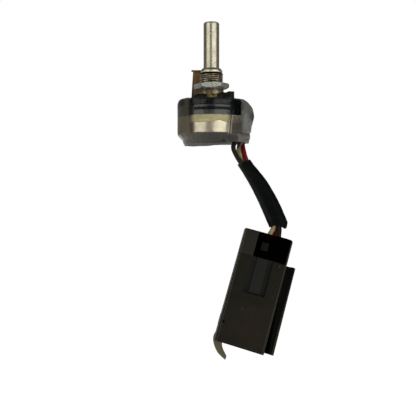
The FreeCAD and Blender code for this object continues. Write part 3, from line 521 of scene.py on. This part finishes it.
def plug_moulding():
    """Dusty dark nylon, rubbed warm in the middle; painted shade darkens the window, groove and rail,
    painted light pales the channel, and painted highlights run down the edges.
    """
    finish = Finish("plug_plastic")
    upright = finish.node("ShaderNodeMapping", {
        "Vector": finish.place, "Location": tuple(value * MM for value in PLUG_PLACE),
        "Rotation": (0.0, PLUG_TILT, 0.0)}, vector_type="TEXTURE").outputs[0]
    axes = finish.axes(upright)
    cloud = finish.noise(0.15, 5.0, 0.62)
    colour = finish.blend(cloud, [(0.3, (0.0042, 0.0041, 0.0018)), (0.72, (0.0085, 0.0078, 0.0032))])
    warm = finish.inside(axes, soft=9.0, X=(0.0, 3.0), Z=(-38.0, -30.0))
    warm = finish.times(warm, finish.span(cloud, 0.35, 0.6, 0.3, 1.0))
    colour = finish.mix(warm, colour, (0.013, 0.0085, 0.004))
    # Painted light: the recessed channel is paler than the face, and the latch strip down its middle
    # paler still.
    channel = finish.inside(axes, Y=(-6.2, None), X=(-4.3, 4.2), Z=(-23.5, -9.6))
    middle = finish.inside(axes, soft=1.4, X=(-1.0, 1.2))
    ridge = finish.mix(middle, (0.0105, 0.012, 0.0098), (0.0098, 0.0112, 0.009))
    colour = finish.mix(channel, colour, ridge)
    column = finish.inside(axes, soft=0.5, X=(None, -4.1), Z=(-9.4, -0.5))
    colour = finish.mix(column, colour, (0.0145, 0.0135, 0.0082))
    front = finish.inside(axes, Y=(None, -6.25))
    # Painted highlights: pale lines down the plug's two edges and the rail's outer edge.
    edge_highlights = [finish.line(axes["X"], *rim) for rim in ((-8.75, 0.22), (9.0, 0.2), (13.35, 0.16))]
    rim = finish.largest(*edge_highlights)
    colour = finish.mix(finish.times(rim, 0.8), colour, (0.043, 0.035, 0.02))
    # Painted shade: the rail, set back from the face, is painted darker.
    rail = finish.inside(axes, X=(10.2, 13.1), Z=(None, -9.8))
    colour = finish.mix(rail, colour, (0.0022, 0.0026, 0.0016))
    # Painted shade: the window in the head, the strip beside it, the groove by the rail and a small spot
    # on the left are painted near black, the latch stop in the window less so.
    head = finish.inside(axes, Z=(-9.45, None))
    dark_side = finish.inside(axes, soft=0.4, X=(4.3, 8.5), Y=(None, -4.0))
    pocket = finish.inside(axes, soft=0.1, Y=(-6.35, -3.3), X=(-3.95, 8.4))
    latch_stop = finish.inside(axes, soft=0.1, X=(-1.75, 0.95), Z=(-6.55, -3.45), Y=(None, -4.35))
    window = finish.times(pocket, finish.span(latch_stop, 0.0, 1.0, 1.0, 0.4))
    black = finish.times(head, finish.largest(window, dark_side))
    width = finish.rise(axes["Z"], -12.0, -43.6, 9.6 * MM, 12.0 * MM)
    groove = finish.rise(finish.maths("SUBTRACT", axes["X"], width), -0.1, 0.2, 1.0, 0.0)
    side = finish.inside(axes, X=(9.35, None), Y=(-0.5, 2.2), Z=(None, -10.5))
    dent = finish.inside(axes, soft=0.5, X=(-8.4, -8.0), Z=(-36.2, -35.8))
    black = finish.largest(black, finish.times(groove, side), dent)
    colour = finish.mix(black, colour, (0.0005, 0.0006, 0.0005))
    dots = finish.span(finish.cells(0.5), 0.07, 0.12, 1.0, 0.0)
    dots = finish.times(dots, finish.span(finish.noise(0.3, 1.0), 0.52, 0.6))
    colour = finish.mix(finish.times(dots, front), colour, (0.16, 0.16, 0.13))
    finish.set("Base Color", colour)
    dull = finish.largest(black, finish.times(rail, 0.75))
    finish.set("Specular IOR Level", finish.span(dull, 0.0, 1.0, 0.11, 0.0))
    finish.set("Roughness", finish.span(cloud, 0.25, 0.75, 0.62, 0.48))
    finish.set("Normal", finish.bump(finish.noise(2.5, 3.0), 0.01, 0.5))
    return finish


def insulation(slot, dark, light, rough=0.4, gloss=0.4, exit_shade_strength=0.95):
    """Soft wire covering with grime along it, and painted shade, near black, where it leaves the sleeve.
    """
    finish = Finish(slot, Specular_IOR_Level=gloss)
    grime = finish.noise(0.5, 4.0, 0.6, finish.stretched(1.0, 1.0, 0.5))
    colour = finish.blend(grime, [(0.35, dark), (0.62, light)])
    # Painted shade: the wires are darkened towards black just below the sleeve's edge.
    exit_shade = finish.rise(finish.axes()["Z"], -20.2, -19.4, 0.0, exit_shade_strength)
    finish.set("Base Color", finish.mix(exit_shade, colour, (0.004, 0.003, 0.003)))
    finish.set("Roughness", finish.span(grime, 0.3, 0.7, rough + 0.12, rough - 0.05))
    finish.set("Normal", finish.bump(finish.noise(1.5, 3.0), 0.02, 0.5))
    return finish


def clear_film():
    """Clear film: smoky where it stands off or turns away, with painted light and shade: highlight and
    shade lines along a crease down the front, and dark and bright patches.
    """
    finish = Finish("clear_sleeve", IOR=1.5)
    haze = finish.painted("haze")
    cloud = finish.noise(0.22, 4.0, 0.6)
    streaks = finish.noise(0.35, 4.0, 0.6, finish.stretched(1.0, 1.0, 0.2))
    axes = finish.axes()
    facing = finish.node("ShaderNodeLayerWeight", {"Blend": 0.35}).outputs["Facing"]
    edge = finish.blend(facing, [(0.1, 0.0), (0.3, 0.38), (0.5, 0.82), (0.62, 0.97)])
    cover = finish.largest(finish.span(haze, 0.0, 1.0, 0.0, 0.85), edge)
    beside = finish.inside(axes, soft=0.5, X=(7.8, None), Z=(None, -8.4))
    fade = finish.rise(axes["Y"], -6.0, 4.0, 0.75, 0.0)
    wing = finish.inside(axes, soft=1.7, X=(None, -8.7))
    shake = finish.span(finish.noise(0.9, 4.0, 0.7), 0.3, 0.7, -0.7 * MM, 0.7 * MM)
    ragged = finish.rise(finish.maths("ADD", axes["X"], shake), 10.7, 11.9)
    cover = finish.largest(cover, finish.times(beside, 0.5), finish.times(wing, fade), ragged)
    far_hem = finish.inside(axes, soft=0.4, Y=(0.5, None), Z=(None, -17.0))
    cover = finish.times(cover, finish.span(far_hem, 0.0, 1.0, 1.0, 0.83))
    cover = finish.maths("MINIMUM", cover, 0.93)
    cover = finish.maths("ADD", cover, finish.span(cloud, 0.4, 0.75, 0.0, 0.04))
    grey = finish.blend(streaks, [(0.32, (0.085, 0.086, 0.08)), (0.7, (0.16, 0.161, 0.152))])
    colour = finish.mix(finish.rise(axes["X"], 4.0, -7.0), grey, (0.165, 0.145, 0.105))
    under = finish.mix(finish.rise(axes["X"], 0.0, -10.0), (0.038, 0.033, 0.023), (0.11, 0.098, 0.072))
    colour = finish.mix(finish.rise(axes["Z"], -14.4, -15.0), colour, under)
    beneath = finish.inside(axes, soft=0.5, X=(7.8, 10.9), Z=(-15.2, -8.2))
    colour = finish.mix(beneath, colour, (0.1, 0.093, 0.072))
    # Painted shade: near black, and less glossy, where the film stands clear beside the bulge.
    clear = finish.inside(axes, soft=0.5, X=(7.6, 10.9), Z=(-7.9, -1.5))
    colour = finish.mix(clear, colour, (0.004, 0.004, 0.004))
    # Patches of painted light and shade: darker patches and bands, a painted highlight streak down the
    # bulge and a paler patch low on the right.
    for spot, painted_light_and_shade in (({"X": (15.5, None), "Z": (-9.2, -7.0)}, (0.008, 0.01, 0.011)),
                        ({"X": (12.9, 13.4), "Z": (-12.5, -7.5)}, (0.2, 0.2, 0.19)),
                        ({"X": (6.8, 9.2), "Z": (-17.0, -15.8)}, (0.018, 0.017, 0.013)),
                        ({"X": (10.5, None), "Z": (None, -15.4)}, (0.17, 0.16, 0.145)),
                        ({"X": (-6.8, 7.4), "Z": (-7.8, None)}, (0.012, 0.016, 0.016)),
                        ({"X": (None, -7.2), "Z": (-7.9, None)}, (0.05, 0.052, 0.042)),
                        ({"X": (-8.0, -7.3), "Z": (-7.9, -1.0)}, (0.004, 0.006, 0.006)),
                        ({"X": (None, -10.6), "Z": (-4.0, None)}, (0.016, 0.018, 0.015))):
        on_left = spot["X"][1] is not None and spot["X"][1] < 0
        share = finish.inside(axes, soft=0.9, **spot)
        share = finish.times(share, fade if on_left else 0.75)
        colour = finish.mix(share, colour, painted_light_and_shade)
    # Painted highlight and painted shade: bright and dark lines along the crease down the front, which
    # also make the film more opaque there.
    front = finish.rise(axes["Y"], -1.0, -5.0)
    lean = finish.maths("SUBTRACT", axes["X"], finish.times(axes["Z"], 0.1))
    bright = finish.largest(finish.line(lean, 7.8, 0.13), finish.line(lean, 8.65, 0.17))
    bright = finish.times(bright, front, finish.inside(axes, soft=0.8, Z=(-14.6, -9.0)))
    dark = finish.largest(finish.line(lean, 7.5, 0.07), finish.line(lean, 8.15, 0.17))
    dark = finish.times(dark, front, finish.inside(axes, soft=0.8, Z=(-15.0, -3.2)))
    colour = finish.mix(bright, colour, (0.55, 0.52, 0.42))
    colour = finish.mix(dark, colour, (0.008, 0.009, 0.008))
    cover = finish.largest(cover, finish.times(bright, 0.5), finish.times(dark, 0.6))
    finish.set("Base Color", colour)
    finish.set("Alpha", cover)
    shine = finish.rise(axes["Z"], -4.7, -4.2, 0.3, 0.13)
    shine = finish.maths("MINIMUM", shine, finish.span(clear, 0.0, 1.0, 0.3, 0.04))
    finish.set("Specular IOR Level", shine)
    finish.set("Roughness", finish.span(cloud, 0.3, 0.75, 0.12, 0.24))
    finish.set("Normal", finish.bump(streaks, 0.1, 0.4, finish.bump(cloud, 0.12, 0.35)))
    return finish


def adhesive():
    """Yellowish cured adhesive, uneven in colour."""
    finish = Finish("cream_adhesive", Coat_Weight=0.3)
    cloud = finish.noise(0.55, 5.0, 0.65)
    colour = finish.blend(cloud, [(0.32, (0.5, 0.44, 0.19)), (0.55, (0.74, 0.67, 0.34)),
                                  (0.75, (0.82, 0.76, 0.46))])
    finish.set("Base Color", colour)
    finish.set("Roughness", finish.span(cloud, 0.3, 0.7, 0.5, 0.3))
    finish.set("Normal", finish.bump(cloud, 0.12, 0.6))
    return finish


def build_materials():
    """Every finish's material, by the record's slot name."""
    finishes = (
        turned_metal("nickel_shaft", (0.36, 0.33, 0.25), (0.56, 0.53, 0.42), (0.2, 0.15, 0.08),
                     0.24, 0.6, 0.75),
        turned_metal("spring_steel", (0.25, 0.25, 0.25), (0.4, 0.4, 0.41), (0.15, 0.12, 0.1), 0.3),
        bushing_metal(),
        zinc(),
        brown_sheet(),
        black_shell(),
        moulded("cream_board", (0.5, 0.45, 0.22), (0.74, 0.68, 0.38), 0.5),
        moulded("carbon_film", (0.012, 0.012, 0.012), (0.03, 0.03, 0.03), 0.6),
        turned_metal("tinned_brass", (0.45, 0.42, 0.33), (0.62, 0.58, 0.48), (0.3, 0.22, 0.1), 0.28),
        turned_metal("nickel_can", (0.42, 0.38, 0.28), (0.62, 0.57, 0.43), (0.26, 0.2, 0.11),
                     0.27, 0.62, 0.8, CAN_LOW_Z + 0.2),
        adhesive(),
        moulded("hub_plastic", (0.6, 0.57, 0.48), (0.74, 0.72, 0.64), 0.45),
        turned_metal("spring_bronze", (0.45, 0.28, 0.12), (0.6, 0.42, 0.2), (0.25, 0.13, 0.05), 0.3),
        clear_film(),
        insulation("black_insulation", (0.002, 0.0015, 0.001), (0.014, 0.01, 0.004), 0.5, 0.1),
        insulation("cream_insulation", (0.11, 0.085, 0.035), (0.34, 0.28, 0.14)),
        insulation("red_insulation", (0.1, 0.001, 0.002), (0.26, 0.003, 0.007), 0.4, 0.2, 0.45),
        soft_tubing(),
        plug_moulding(),
        residue(),
        moulded("yellowed_nylon", (0.05, 0.04, 0.01), (0.125, 0.104, 0.036), 0.42),
    )
    return {finish.slot: finish.material for finish in finishes}


# Lead

def nurbs_curve(name, route):
    """One open smooth spline through a route's control points."""
    curve = bpy.data.curves.new(name, "CURVE")
    curve.dimensions = "3D"
    curve.resolution_u = 24
    spline = curve.splines.new("NURBS")
    spline.points.add(len(route) - 1)
    for point, spot in zip(spline.points, route):
        point.co = (*[value * MM for value in spot], 1.0)
    spline.order_u = 3
    spline.use_endpoint_u = True
    return new_object(name, curve)


def route_line(route):
    """Points in millimetres that the smooth spline of a route runs through."""
    guide = nurbs_curve("guide", route)
    mesh = bpy.data.meshes.new_from_object(guide)
    line = [vertex.co / MM for vertex in mesh.vertices]
    curve = guide.data
    bpy.data.objects.remove(guide)
    bpy.data.curves.remove(curve)
    bpy.data.meshes.remove(mesh)
    return line


def make_wire(name, route, slot):
    """One insulated wire as a round bevelled spline."""
    wire = nurbs_curve(name.replace("wire", "lead"), route)
    wire.data.bevel_depth = WIRE_R * MM
    wire.data.bevel_resolution = 6
    wire.data.use_fill_caps = True
    return carry(wire, slot, name)


def make_tube():
    """Flattened tubing over the wires: tight at the top, flared and slanted below."""
    line = route_line(TUBE_ROUTE)
    columns = 64
    travelled = [0.0]
    for before, after in zip(line, line[1:]):
        travelled.append(travelled[-1] + (after - before).length)
    walls = []
    sheen_and_rub_values = []
    for inset in (0.0, TUBE_WALL):
        wall = []
        for index, centre in enumerate(line):
            share = travelled[index] / travelled[-1]
            along = (line[min(index + 1, len(line) - 1)] - line[max(index - 1, 0)]).normalized()
            across = along.cross(Vector((0, 1, 0))).normalized()
            half_width = 2.6 + 0.7 * ease(0.0, 0.85, share) + 0.35 * ease(0.05, 0.4, share) - inset
            centre = centre + across * 0.3 * ease(0.05, 0.4, share)
            half_depth = 2.75 - 0.3 * ease(0.1, 0.9, share) - inset
            ring = []
            for column in range(columns):
                angle = TURN * column / columns
                side = math.cos(angle)
                front = math.sin(angle)
                dent = 0.32 * math.exp(-((side + 0.15) / 0.22) ** 2) * ease(0.0, 0.5, front)
                wave = 0.07 * wander(side * 2, front * 2, share * 14, 1.0)
                slant = 2.5 * math.exp(-((side - 0.52) / 0.42) ** 2) + 0.2 * wander(side, front, 3.0, 0.8)
                slant *= ease(0.8, 1.0, share)
                slant += (0.5 * side - 0.2) * ease(0.2, 0.0, share)
                spot = centre + across * side * (half_width + wave)
                spot -= Vector((0, 1, 0)) * front * (half_depth + wave - dent)
                ring.append(spot + along * slant)
                # Painted sheen with rubbed wear: paler bands near the left side and right edge, and
                # creases at the front near the top.
                crease = math.exp(-((side + 0.3) / 0.06) ** 2)
                crease += 0.7 * math.exp(-((side + 0.05) / 0.05) ** 2)
                sheen_and_rub = math.exp(-((side + 0.72) / 0.2) ** 2) + 0.7 * math.exp(-((side - 0.9) / 0.07) ** 2)
                sheen_and_rub_values.append(sheen_and_rub + crease * ease(0.45, 0.1, share) * (1.0 if front > 0 else 0.0))
            wall.append(ring)
        walls.append(wall)
    loops = walls[0] + walls[1][::-1]
    points = [spot for loop in loops for spot in loop]
    tube = mesh_object("cable_tube_flat", points, grid_faces(len(loops), columns, True))
    outer = sheen_and_rub_values[:len(line) * columns]
    paint(tube, "sheen_and_rub", outer + [0.0] * (len(points) - len(outer)))
    return tube


# Body

def thread_radius(radius, height, angle):
    """Rounded vee thread on the threaded rows, and nothing on the others."""
    base = SHOULDER_H
    top = base + THREAD_H
    if not base < height < top or radius < UNDERCUT_R:
        return radius
    phase = (height / THREAD_PITCH - angle / TURN) % 1.0
    groove = 1 - abs(2 * phase - 1)
    fade = ease(base, base + 0.5, height) * ease(top + 0.02, top - 0.25, height)
    wear = 0.012 * wander_round(3, angle, height * 2, 1.0)
    return radius - THREAD_DEPTH * ease(0.3, 0.95, groove) * fade + wear * fade


def make_bushing():
    """Turned bushing with its helical thread, undercut and chamfered lip."""
    thread_top = SHOULDER_H + THREAD_H
    lip_low = thread_top + UNDERCUT_H
    lip_top = lip_low + LIP_H
    profile = [(BORE_R, STAKE_END_Z), (STAKE_R - 0.3, STAKE_END_Z), (STAKE_R, STAKE_END_Z + 0.3),
               (STAKE_R, STAKE_Z), (SPIGOT_R, STAKE_Z), (SPIGOT_R, -FLANGE_T),
               (FLANGE_R - 0.06, -FLANGE_T), (FLANGE_R, -FLANGE_T + 0.06), (FLANGE_R, -0.08),
               (FLANGE_R - 0.08, 0.0), (SHOULDER_R + 0.12, 0.0), (SHOULDER_R, 0.12),
               (SHOULDER_R, SHOULDER_H - 0.25)]
    profile += [(THREAD_R, height) for height in between(SHOULDER_H, thread_top, 96)]
    profile += [(UNDERCUT_R, thread_top + 0.02), (UNDERCUT_R - 0.05, lip_low - 0.05),
                (LIP_R - 0.08, lip_low), (LIP_R, lip_low + 0.08), (LIP_R, lip_top - 0.92),
                (LIP_R - 0.1, lip_top - 0.72), (LIP_TOP_R + 0.1, lip_top - 0.08),
                (LIP_TOP_R - 0.05, lip_top), (BORE_R + 0.05, lip_top), (BORE_R, lip_top - 0.05)]
    return polar_solid("bushing_threaded", profile, thread_radius, 112, sharp=75.0)


def grow_peg(piece):
    """Raises and thickens the locating peg by what the photograph shows beyond the solid."""
    for vertex in piece.data.vertices:
        x, y, z = vertex.co / MM
        if z > PEG_ROOT_Z and math.hypot(x - PEG_X, y - PEG_Y) < PEG_REACH:
            x, y = x + PEG_WIDER * (x - PEG_X), y + PEG_WIDER * (y - PEG_Y)
            vertex.co = Vector((x, y, z + PEG_TALLER * ease(0.0, 1.0, z))) * MM
    return piece


def make_grime():
    """Lumpy dark residue round the bushing's flange."""
    def lumpy(radius, height, angle):
        if radius < FLANGE_R + 0.3:
            return radius
        side = 0.45 * max(0.0, -math.cos(angle)) + 0.5 * math.exp(-((angle - 5.6) / 0.4) ** 2)
        return radius + side + 0.35 * wander_round(5, angle, height, 1.3)

    inner = FLANGE_R + 0.02
    profile = [(inner, -1.64), (6.5, -1.64), (6.75, -1.2), (6.7, -0.4), (6.35, 0.2), (5.95, 0.42),
               (inner + 0.05, 0.25)]
    ring = polar_solid("flange_grime", profile, lumpy, 160)
    for vertex in ring.data.vertices:
        spot = vertex.co / MM
        angle = math.atan2(spot.y, spot.x)
        scallop = 0.3 * wander_round(6, angle, 3.0, 1.1)
        heap = 0.75 * math.exp(-((angle + 0.7) / 0.4) ** 2)
        vertex.co.z += (scallop + heap) * ease(-1.2, 0.2, spot.z) * MM
    return ring


def nut_radius(radius, height, angle):
    """Hexagon seen from above, its corners taken off by the chamfer's cone."""
    if radius < NUT_APOTHEM * 0.9:
        return radius
    corner = NUT_APOTHEM / math.cos(math.pi / 6)
    folded = (angle + math.pi / 6) % (math.pi / 3) - math.pi / 6
    turned_angle = math.pi / 6 - abs(folded)
    flat = NUT_APOTHEM / math.cos(turned_angle)
    below = max(0.0, NUT_CHAMFER - (height - NUT_LOW_Z))
    above = max(0.0, NUT_TOP_CHAMFER - (NUT_LOW_Z + NUT_H - height))
    cone = corner - 0.1 - (below + above) * 1.75
    return min(flat, cone)


def make_nut():
    """Worn hexagonal nut, seated slightly askew on the thread."""
    top = NUT_LOW_Z + NUT_H
    rows = [(NUT_APOTHEM, height) for height in between(NUT_LOW_Z, top, 20)]
    bore = THREAD_R - 0.05
    profile = [(bore, NUT_LOW_Z + 0.25), (bore + 0.25, NUT_LOW_Z), (NUT_APOTHEM * 0.88, NUT_LOW_Z)]
    profile += rows + [(NUT_APOTHEM * 0.88, top), (bore + 0.25, top), (bore, top - 0.25)]
    nut = polar_solid("nut_worn", profile, nut_radius, 144, sharp=28.0)
    middle = Matrix.Translation((0, 0, (NUT_LOW_Z + NUT_H / 2) * MM))
    nut.data.transform(middle @ Matrix.Rotation(NUT_TILT, 4, "Y") @ middle.inverted())
    return nut


def make_bead():
    """Adhesive round the joint, lumpy, with a wavy lower edge."""
    def lumpy(radius, height, angle):
        if radius < CAN_R + 0.2:
            return radius
        return radius + 0.1 * wander_round(9, angle, height, 1.6)

    low = BOARD_LOW_Z - 1.1
    profile = [(CAN_R + 0.01, BOARD_LOW_Z), (BODY_R - 0.12, BOARD_LOW_Z),
               (BODY_R - 0.02, BOARD_LOW_Z - 0.2), (BODY_R - 0.02, BOARD_LOW_Z - 0.6),
               (BODY_R - 0.12, low + 0.12), (CAN_R + 0.25, low), (CAN_R + 0.01, low)]
    bead = polar_solid("adhesive_wavy", profile, lumpy, 220)
    for vertex in bead.data.vertices:
        spot = vertex.co / MM
        angle = math.atan2(spot.y, spot.x)
        wave = 0.25 * wander_round(7, angle, 5.0, 1.9)
        wave += 0.6 * math.exp(-((spot.x - 2.6) / 2.4) ** 2) if spot.y < 0 else 0.0
        depth = ease(BOARD_LOW_Z - 0.2, low, spot.z)
        vertex.co.z += wave * depth * MM
    return bead


# Sleeve

def sleeve_loop(height, radius, reach, shift, inset):
    """Points of one outline, anticlockwise from the far tangent, with outward normals."""
    big = radius - inset
    small = SLEEVE_BULGE_R - inset
    centre = reach - SLEEVE_BULGE_R
    angle = math.acos(max(-1.0, min(1.0, (big - small) / (centre - shift))))
    loop = []
    for step in range(120):
        turn = angle + (TURN - 2 * angle) * step / 120
        loop.append((shift, big, turn))
    for step in range(14):
        loop.append((shift + (centre - shift) * step / 14, big + (small - big) * step / 14,
                     TURN - angle))
    for step in range(52):
        turn = -angle + 2 * angle * step / 52
        loop.append((centre, small, turn))
    for step in range(14):
        loop.append((centre + (shift - centre) * step / 14, small + (big - small) * step / 14,
                     angle))
    return [(x + r * math.cos(turn), r * math.sin(turn), height, turn) for x, r, turn in loop]


def standoff(x, y, z):
    """How far the film stands off what it covers, in millimetres."""
    beside = max(0.0, math.hypot(x, y) - BODY_R - 0.75)
    below = ease(CAN_LOW_Z + 0.7, CAN_LOW_Z + 0.3, z)
    return 3.0 * below + beside


def film_wrinkle(x, y, z):
    """Outward movement of the film: creases, puckers and the ridge beside the bulge."""
    loose = ease(0.1, 1.8, standoff(x, y, z))
    vertical = wander(x * 1.2, y * 1.2, z * 0.3, 1.9)
    puckers = wander(x, y, z * 1.4, 1.3)
    ridge = math.exp(-((x - 6.9) / 0.3) ** 2) * (1.0 if y < 0 else 0.6)
    swell = wander(x + 20, y, z, 4.5)
    fold = math.exp(-((z + 14.0 + 0.25 * x / 12) / 0.35) ** 2) * ease(2.0, 9.0, x)
    return (0.05 + 0.16 * loose) * vertical + (0.03 + 0.07 * loose) * puckers \
        + 0.2 * ridge + 0.12 * swell * loose - 0.22 * fold


def make_sleeve():
    """Shrunk film, thin-walled, with a ragged top rim curled in over the housing."""
    walls = []
    for inset in (0.0, SLEEVE_WALL):
        wall = []
        for height, radius, reach, shift in cubic_rows(SLEEVE_ROWS, 7):
            wall_inset = inset * (1 - 0.75 * ease(-17.0, SLEEVE_LOW_Z, height))
            ring = []
            for x, y, z, turn in sleeve_loop(height, radius, reach, shift, wall_inset):
                push = film_wrinkle(x, y, z)
                rim = ease(-2.6, SLEEVE_TOP_Z, z)
                hem = ease(-16.9, SLEEVE_LOW_Z, z)
                ragged = 0.22 * wander(x, y, 2.0, 2.6) * rim
                slope = 0.07 * min(0.0, x - 3.0) * hem + 0.14 * wander(x, y, 9.0, 2.2) * hem
                spot = (x + push * math.cos(turn), y + push * math.sin(turn), z + ragged + slope)
                ring.append((spot, ease(0.2, 1.9, standoff(x, y, z))))
            wall.append(ring)
        walls.append(wall)
    loops = walls[0] + walls[1][::-1]
    points = [spot for ring in loops for spot, haze in ring]
    faces = grid_faces(len(loops), len(loops[0]), True)
    sleeve = mesh_object("sleeve_film", points, faces, sharp=60.0)
    paint(sleeve, "haze", [haze for ring in loops for spot, haze in ring])
    return sleeve


# Plug

def plug_to_world(x, y, z):
    """A point in the plug's own upright frame, moved to its tilted place."""
    cosine, sine = math.cos(PLUG_TILT), math.sin(PLUG_TILT)
    return (PLUG_PLACE[0] + x * cosine + z * sine, y, PLUG_PLACE[2] - x * sine + z * cosine)


def spread_plug(piece):
    """Widens the plug a little towards its mouth and slants its lower end, as moulded parts warp."""
    cosine, sine = math.cos(PLUG_TILT), math.sin(PLUG_TILT)
    for vertex in piece.data.vertices:
        spot = vertex.co / MM
        across, up = spot.x - PLUG_PLACE[0], spot.z - PLUG_PLACE[2]
        x, z = across * cosine - up * sine, across * sine + up * cosine
        down = min(1.0, max(0.0, -z / PLUG_LENGTH))
        x += x / PLUG_HALF_X * ((0.12 + 0.48 * down) if x > 0 else (0.5 * down - 0.08))
        z -= PLUG_END_SLANT * (x + PLUG_HALF_X) / (2 * PLUG_HALF_X) * ease(0.4, 1.0, down)
        vertex.co = Vector(plug_to_world(x, spot.y, z)) * MM
    return piece


def make_strap():
    """Yellowed pointed strip with rounded edges, bowed towards the back."""
    across = 8
    shares = between(0.0, 1.0, across)
    sides = ((shares, STRAP_FRONT_Y, 1), (shares[::-1], STRAP_FRONT_Y + STRAP_T, -1))
    loops = []
    for (x0, z0), (x1, z1) in zip(cubic_rows(STRAP_LEFT, 12), cubic_rows(STRAP_RIGHT, 12)):
        bow = STRAP_BOW * ease(-44.0, -52.0, (z0 + z1) / 2)
        loop = []
        for ordered, face, inward in sides:
            for share in ordered:
                edge = STRAP_EDGE * (1 - min(1.0, min(share, 1 - share) * 5))
                loop.append(plug_to_world(x0 + (x1 - x0) * share, face + inward * edge + bow,
                                          z0 + (z1 - z0) * share))
        loops.append(loop)
    columns = 2 * (across + 1)
    faces = grid_faces(len(loops), columns)
    last = (len(loops) - 1) * columns
    faces.append(tuple(range(columns)))
    faces.append(tuple(last + column for column in reversed(range(columns))))
    return mesh_object("strap_strip", [spot for loop in loops for spot in loop], faces)


# Stage

def make_floor():
    """Pale floor, near white to the camera and in reflections."""
    mesh = bpy.data.meshes.new("floor")
    corners = [(-FLOOR_HALF, -FLOOR_HALF, FLOOR_Z), (FLOOR_HALF, -FLOOR_HALF, FLOOR_Z),
               (FLOOR_HALF, FLOOR_HALF, FLOOR_Z), (-FLOOR_HALF, FLOOR_HALF, FLOOR_Z)]
    mesh.from_pydata(corners, [], [(0, 1, 2, 3)])
    floor = new_object("floor", mesh)
    pale = Finish("floor_pale", Base_Color=(0.8, 0.8, 0.8), Roughness=0.9)
    pale.set("Emission Color", (1.0, 1.0, 1.0))
    rays = pale.node("ShaderNodeLightPath", {}).outputs
    seen = pale.largest(rays["Is Camera Ray"], rays["Is Glossy Ray"], rays["Is Transmission Ray"])
    pale.set("Emission Strength", pale.times(seen, 0.93))
    mesh.materials.append(pale.material)


def make_world():
    """White to the camera, dim as light, with a bright back and faint sides for metal."""
    world = bpy.data.worlds.new("studio")
    bpy.context.scene.world = world
    world.use_nodes = True
    sky = Nodes(world.node_tree)
    sky.tree.nodes.clear()
    rays = sky.node("ShaderNodeLightPath", {}).outputs
    place = sky.node("ShaderNodeTexCoord", {}).outputs["Generated"]
    behind = sky.blend(sky.split(place)["Y"], [(0.0, 0.0), (0.3, 0.1), (0.93, 0.1), (1.0, 1.0)])
    seen = sky.times(rays["Is Glossy Ray"], behind)
    seen = sky.largest(seen, rays["Is Camera Ray"], rays["Is Transmission Ray"])
    level = sky.span(seen, 0.0, 1.0, 0.1, 1.0)
    background = sky.node("ShaderNodeBackground", {"Color": (1.0, 1.0, 1.0), "Strength": level})
    sky.node("ShaderNodeOutputWorld", {"Surface": background.outputs[0]})


def make_lights():
    """Two softboxes aimed at the part, from the front left and the front right."""
    for name, (azimuth, elevation, width, tall, power) in SOFTBOXES.items():
        lamp = bpy.data.lights.new(name, "AREA")
        lamp.shape = "RECTANGLE"
        lamp.size, lamp.size_y = width, tall
        lamp.energy = power
        lamp.color = (1.0, 0.985, 0.95)
        light = new_object(name, lamp)
        side, lift = math.radians(azimuth), math.radians(elevation)
        away = Vector((math.sin(side) * math.cos(lift), -math.cos(side) * math.cos(lift), math.sin(lift)))
        light.location = Vector(LIGHT_TARGET) + away * LIGHT_AWAY
        light.rotation_euler = (-away).to_track_quat("-Z", "Y").to_euler()


def make_camera():
    """Level camera in front of the part."""
    camera = bpy.data.cameras.new("camera")
    camera.lens = EYE_LENS
    camera.sensor_width = EYE_SENSOR
    eye = new_object("camera", camera)
    eye.location = EYE_PLACE
    eye.rotation_euler = (math.radians(90), 0.0, 0.0)
    bpy.context.scene.camera = eye
    bpy.context.scene.view_settings.view_transform = "Standard"


# Assembly

make_floor()
make_world()
make_lights()
make_camera()
materials = build_materials()

wires = {name: make_wire(name, route, slot) for name, (route, _, slot) in WIRES.items()}
tube = carry(make_tube(), "black_tube", "cable_tube")
strap = carry(make_strap(), "yellowed_nylon", "plug_strap")
block = carry(spread_plug(rounded_copy("plug_block", 0.3)), "plug_plastic", "plug_block")
shell = carry(spread_plug(rounded_copy("plug_shell", 0.25)), "plug_plastic", "plug_shell")

carry(make_bushing(), "nickel_bushing", "threaded_bushing")
carry(make_nut(), "zinc_nut", "panel_nut")
carry(rounded_copy("locating_plate", 0.14), "brown_plate", "locating_plate")
carry(grow_peg(rounded_copy("front_housing", 0.12)), "black_moulding", "front_housing")
carry(make_grime(), "grime")
carry(make_bead(), "cream_adhesive", "adhesive_bead")
carry(make_sleeve(), "clear_sleeve", "heat_shrink_sleeve")

kept_nodes = ["shaft", "shaft_retaining_ring", "terminal_board", "carbon_track", "collector_ring",
              "terminal_black", "terminal_white", "terminal_red", "terminal_rivets", "rear_can",
              "rotor_hub", "wiper_spring", "contact_black", "contact_white", "contact_red"]
slot_of = {row["node"]: row["material_slot"] for row in frame["record"]["subparts"]}
for name in kept_nodes:
    for slot in frame["nodes"][name].material_slots:
        slot.material = materials[slot_of[name]]
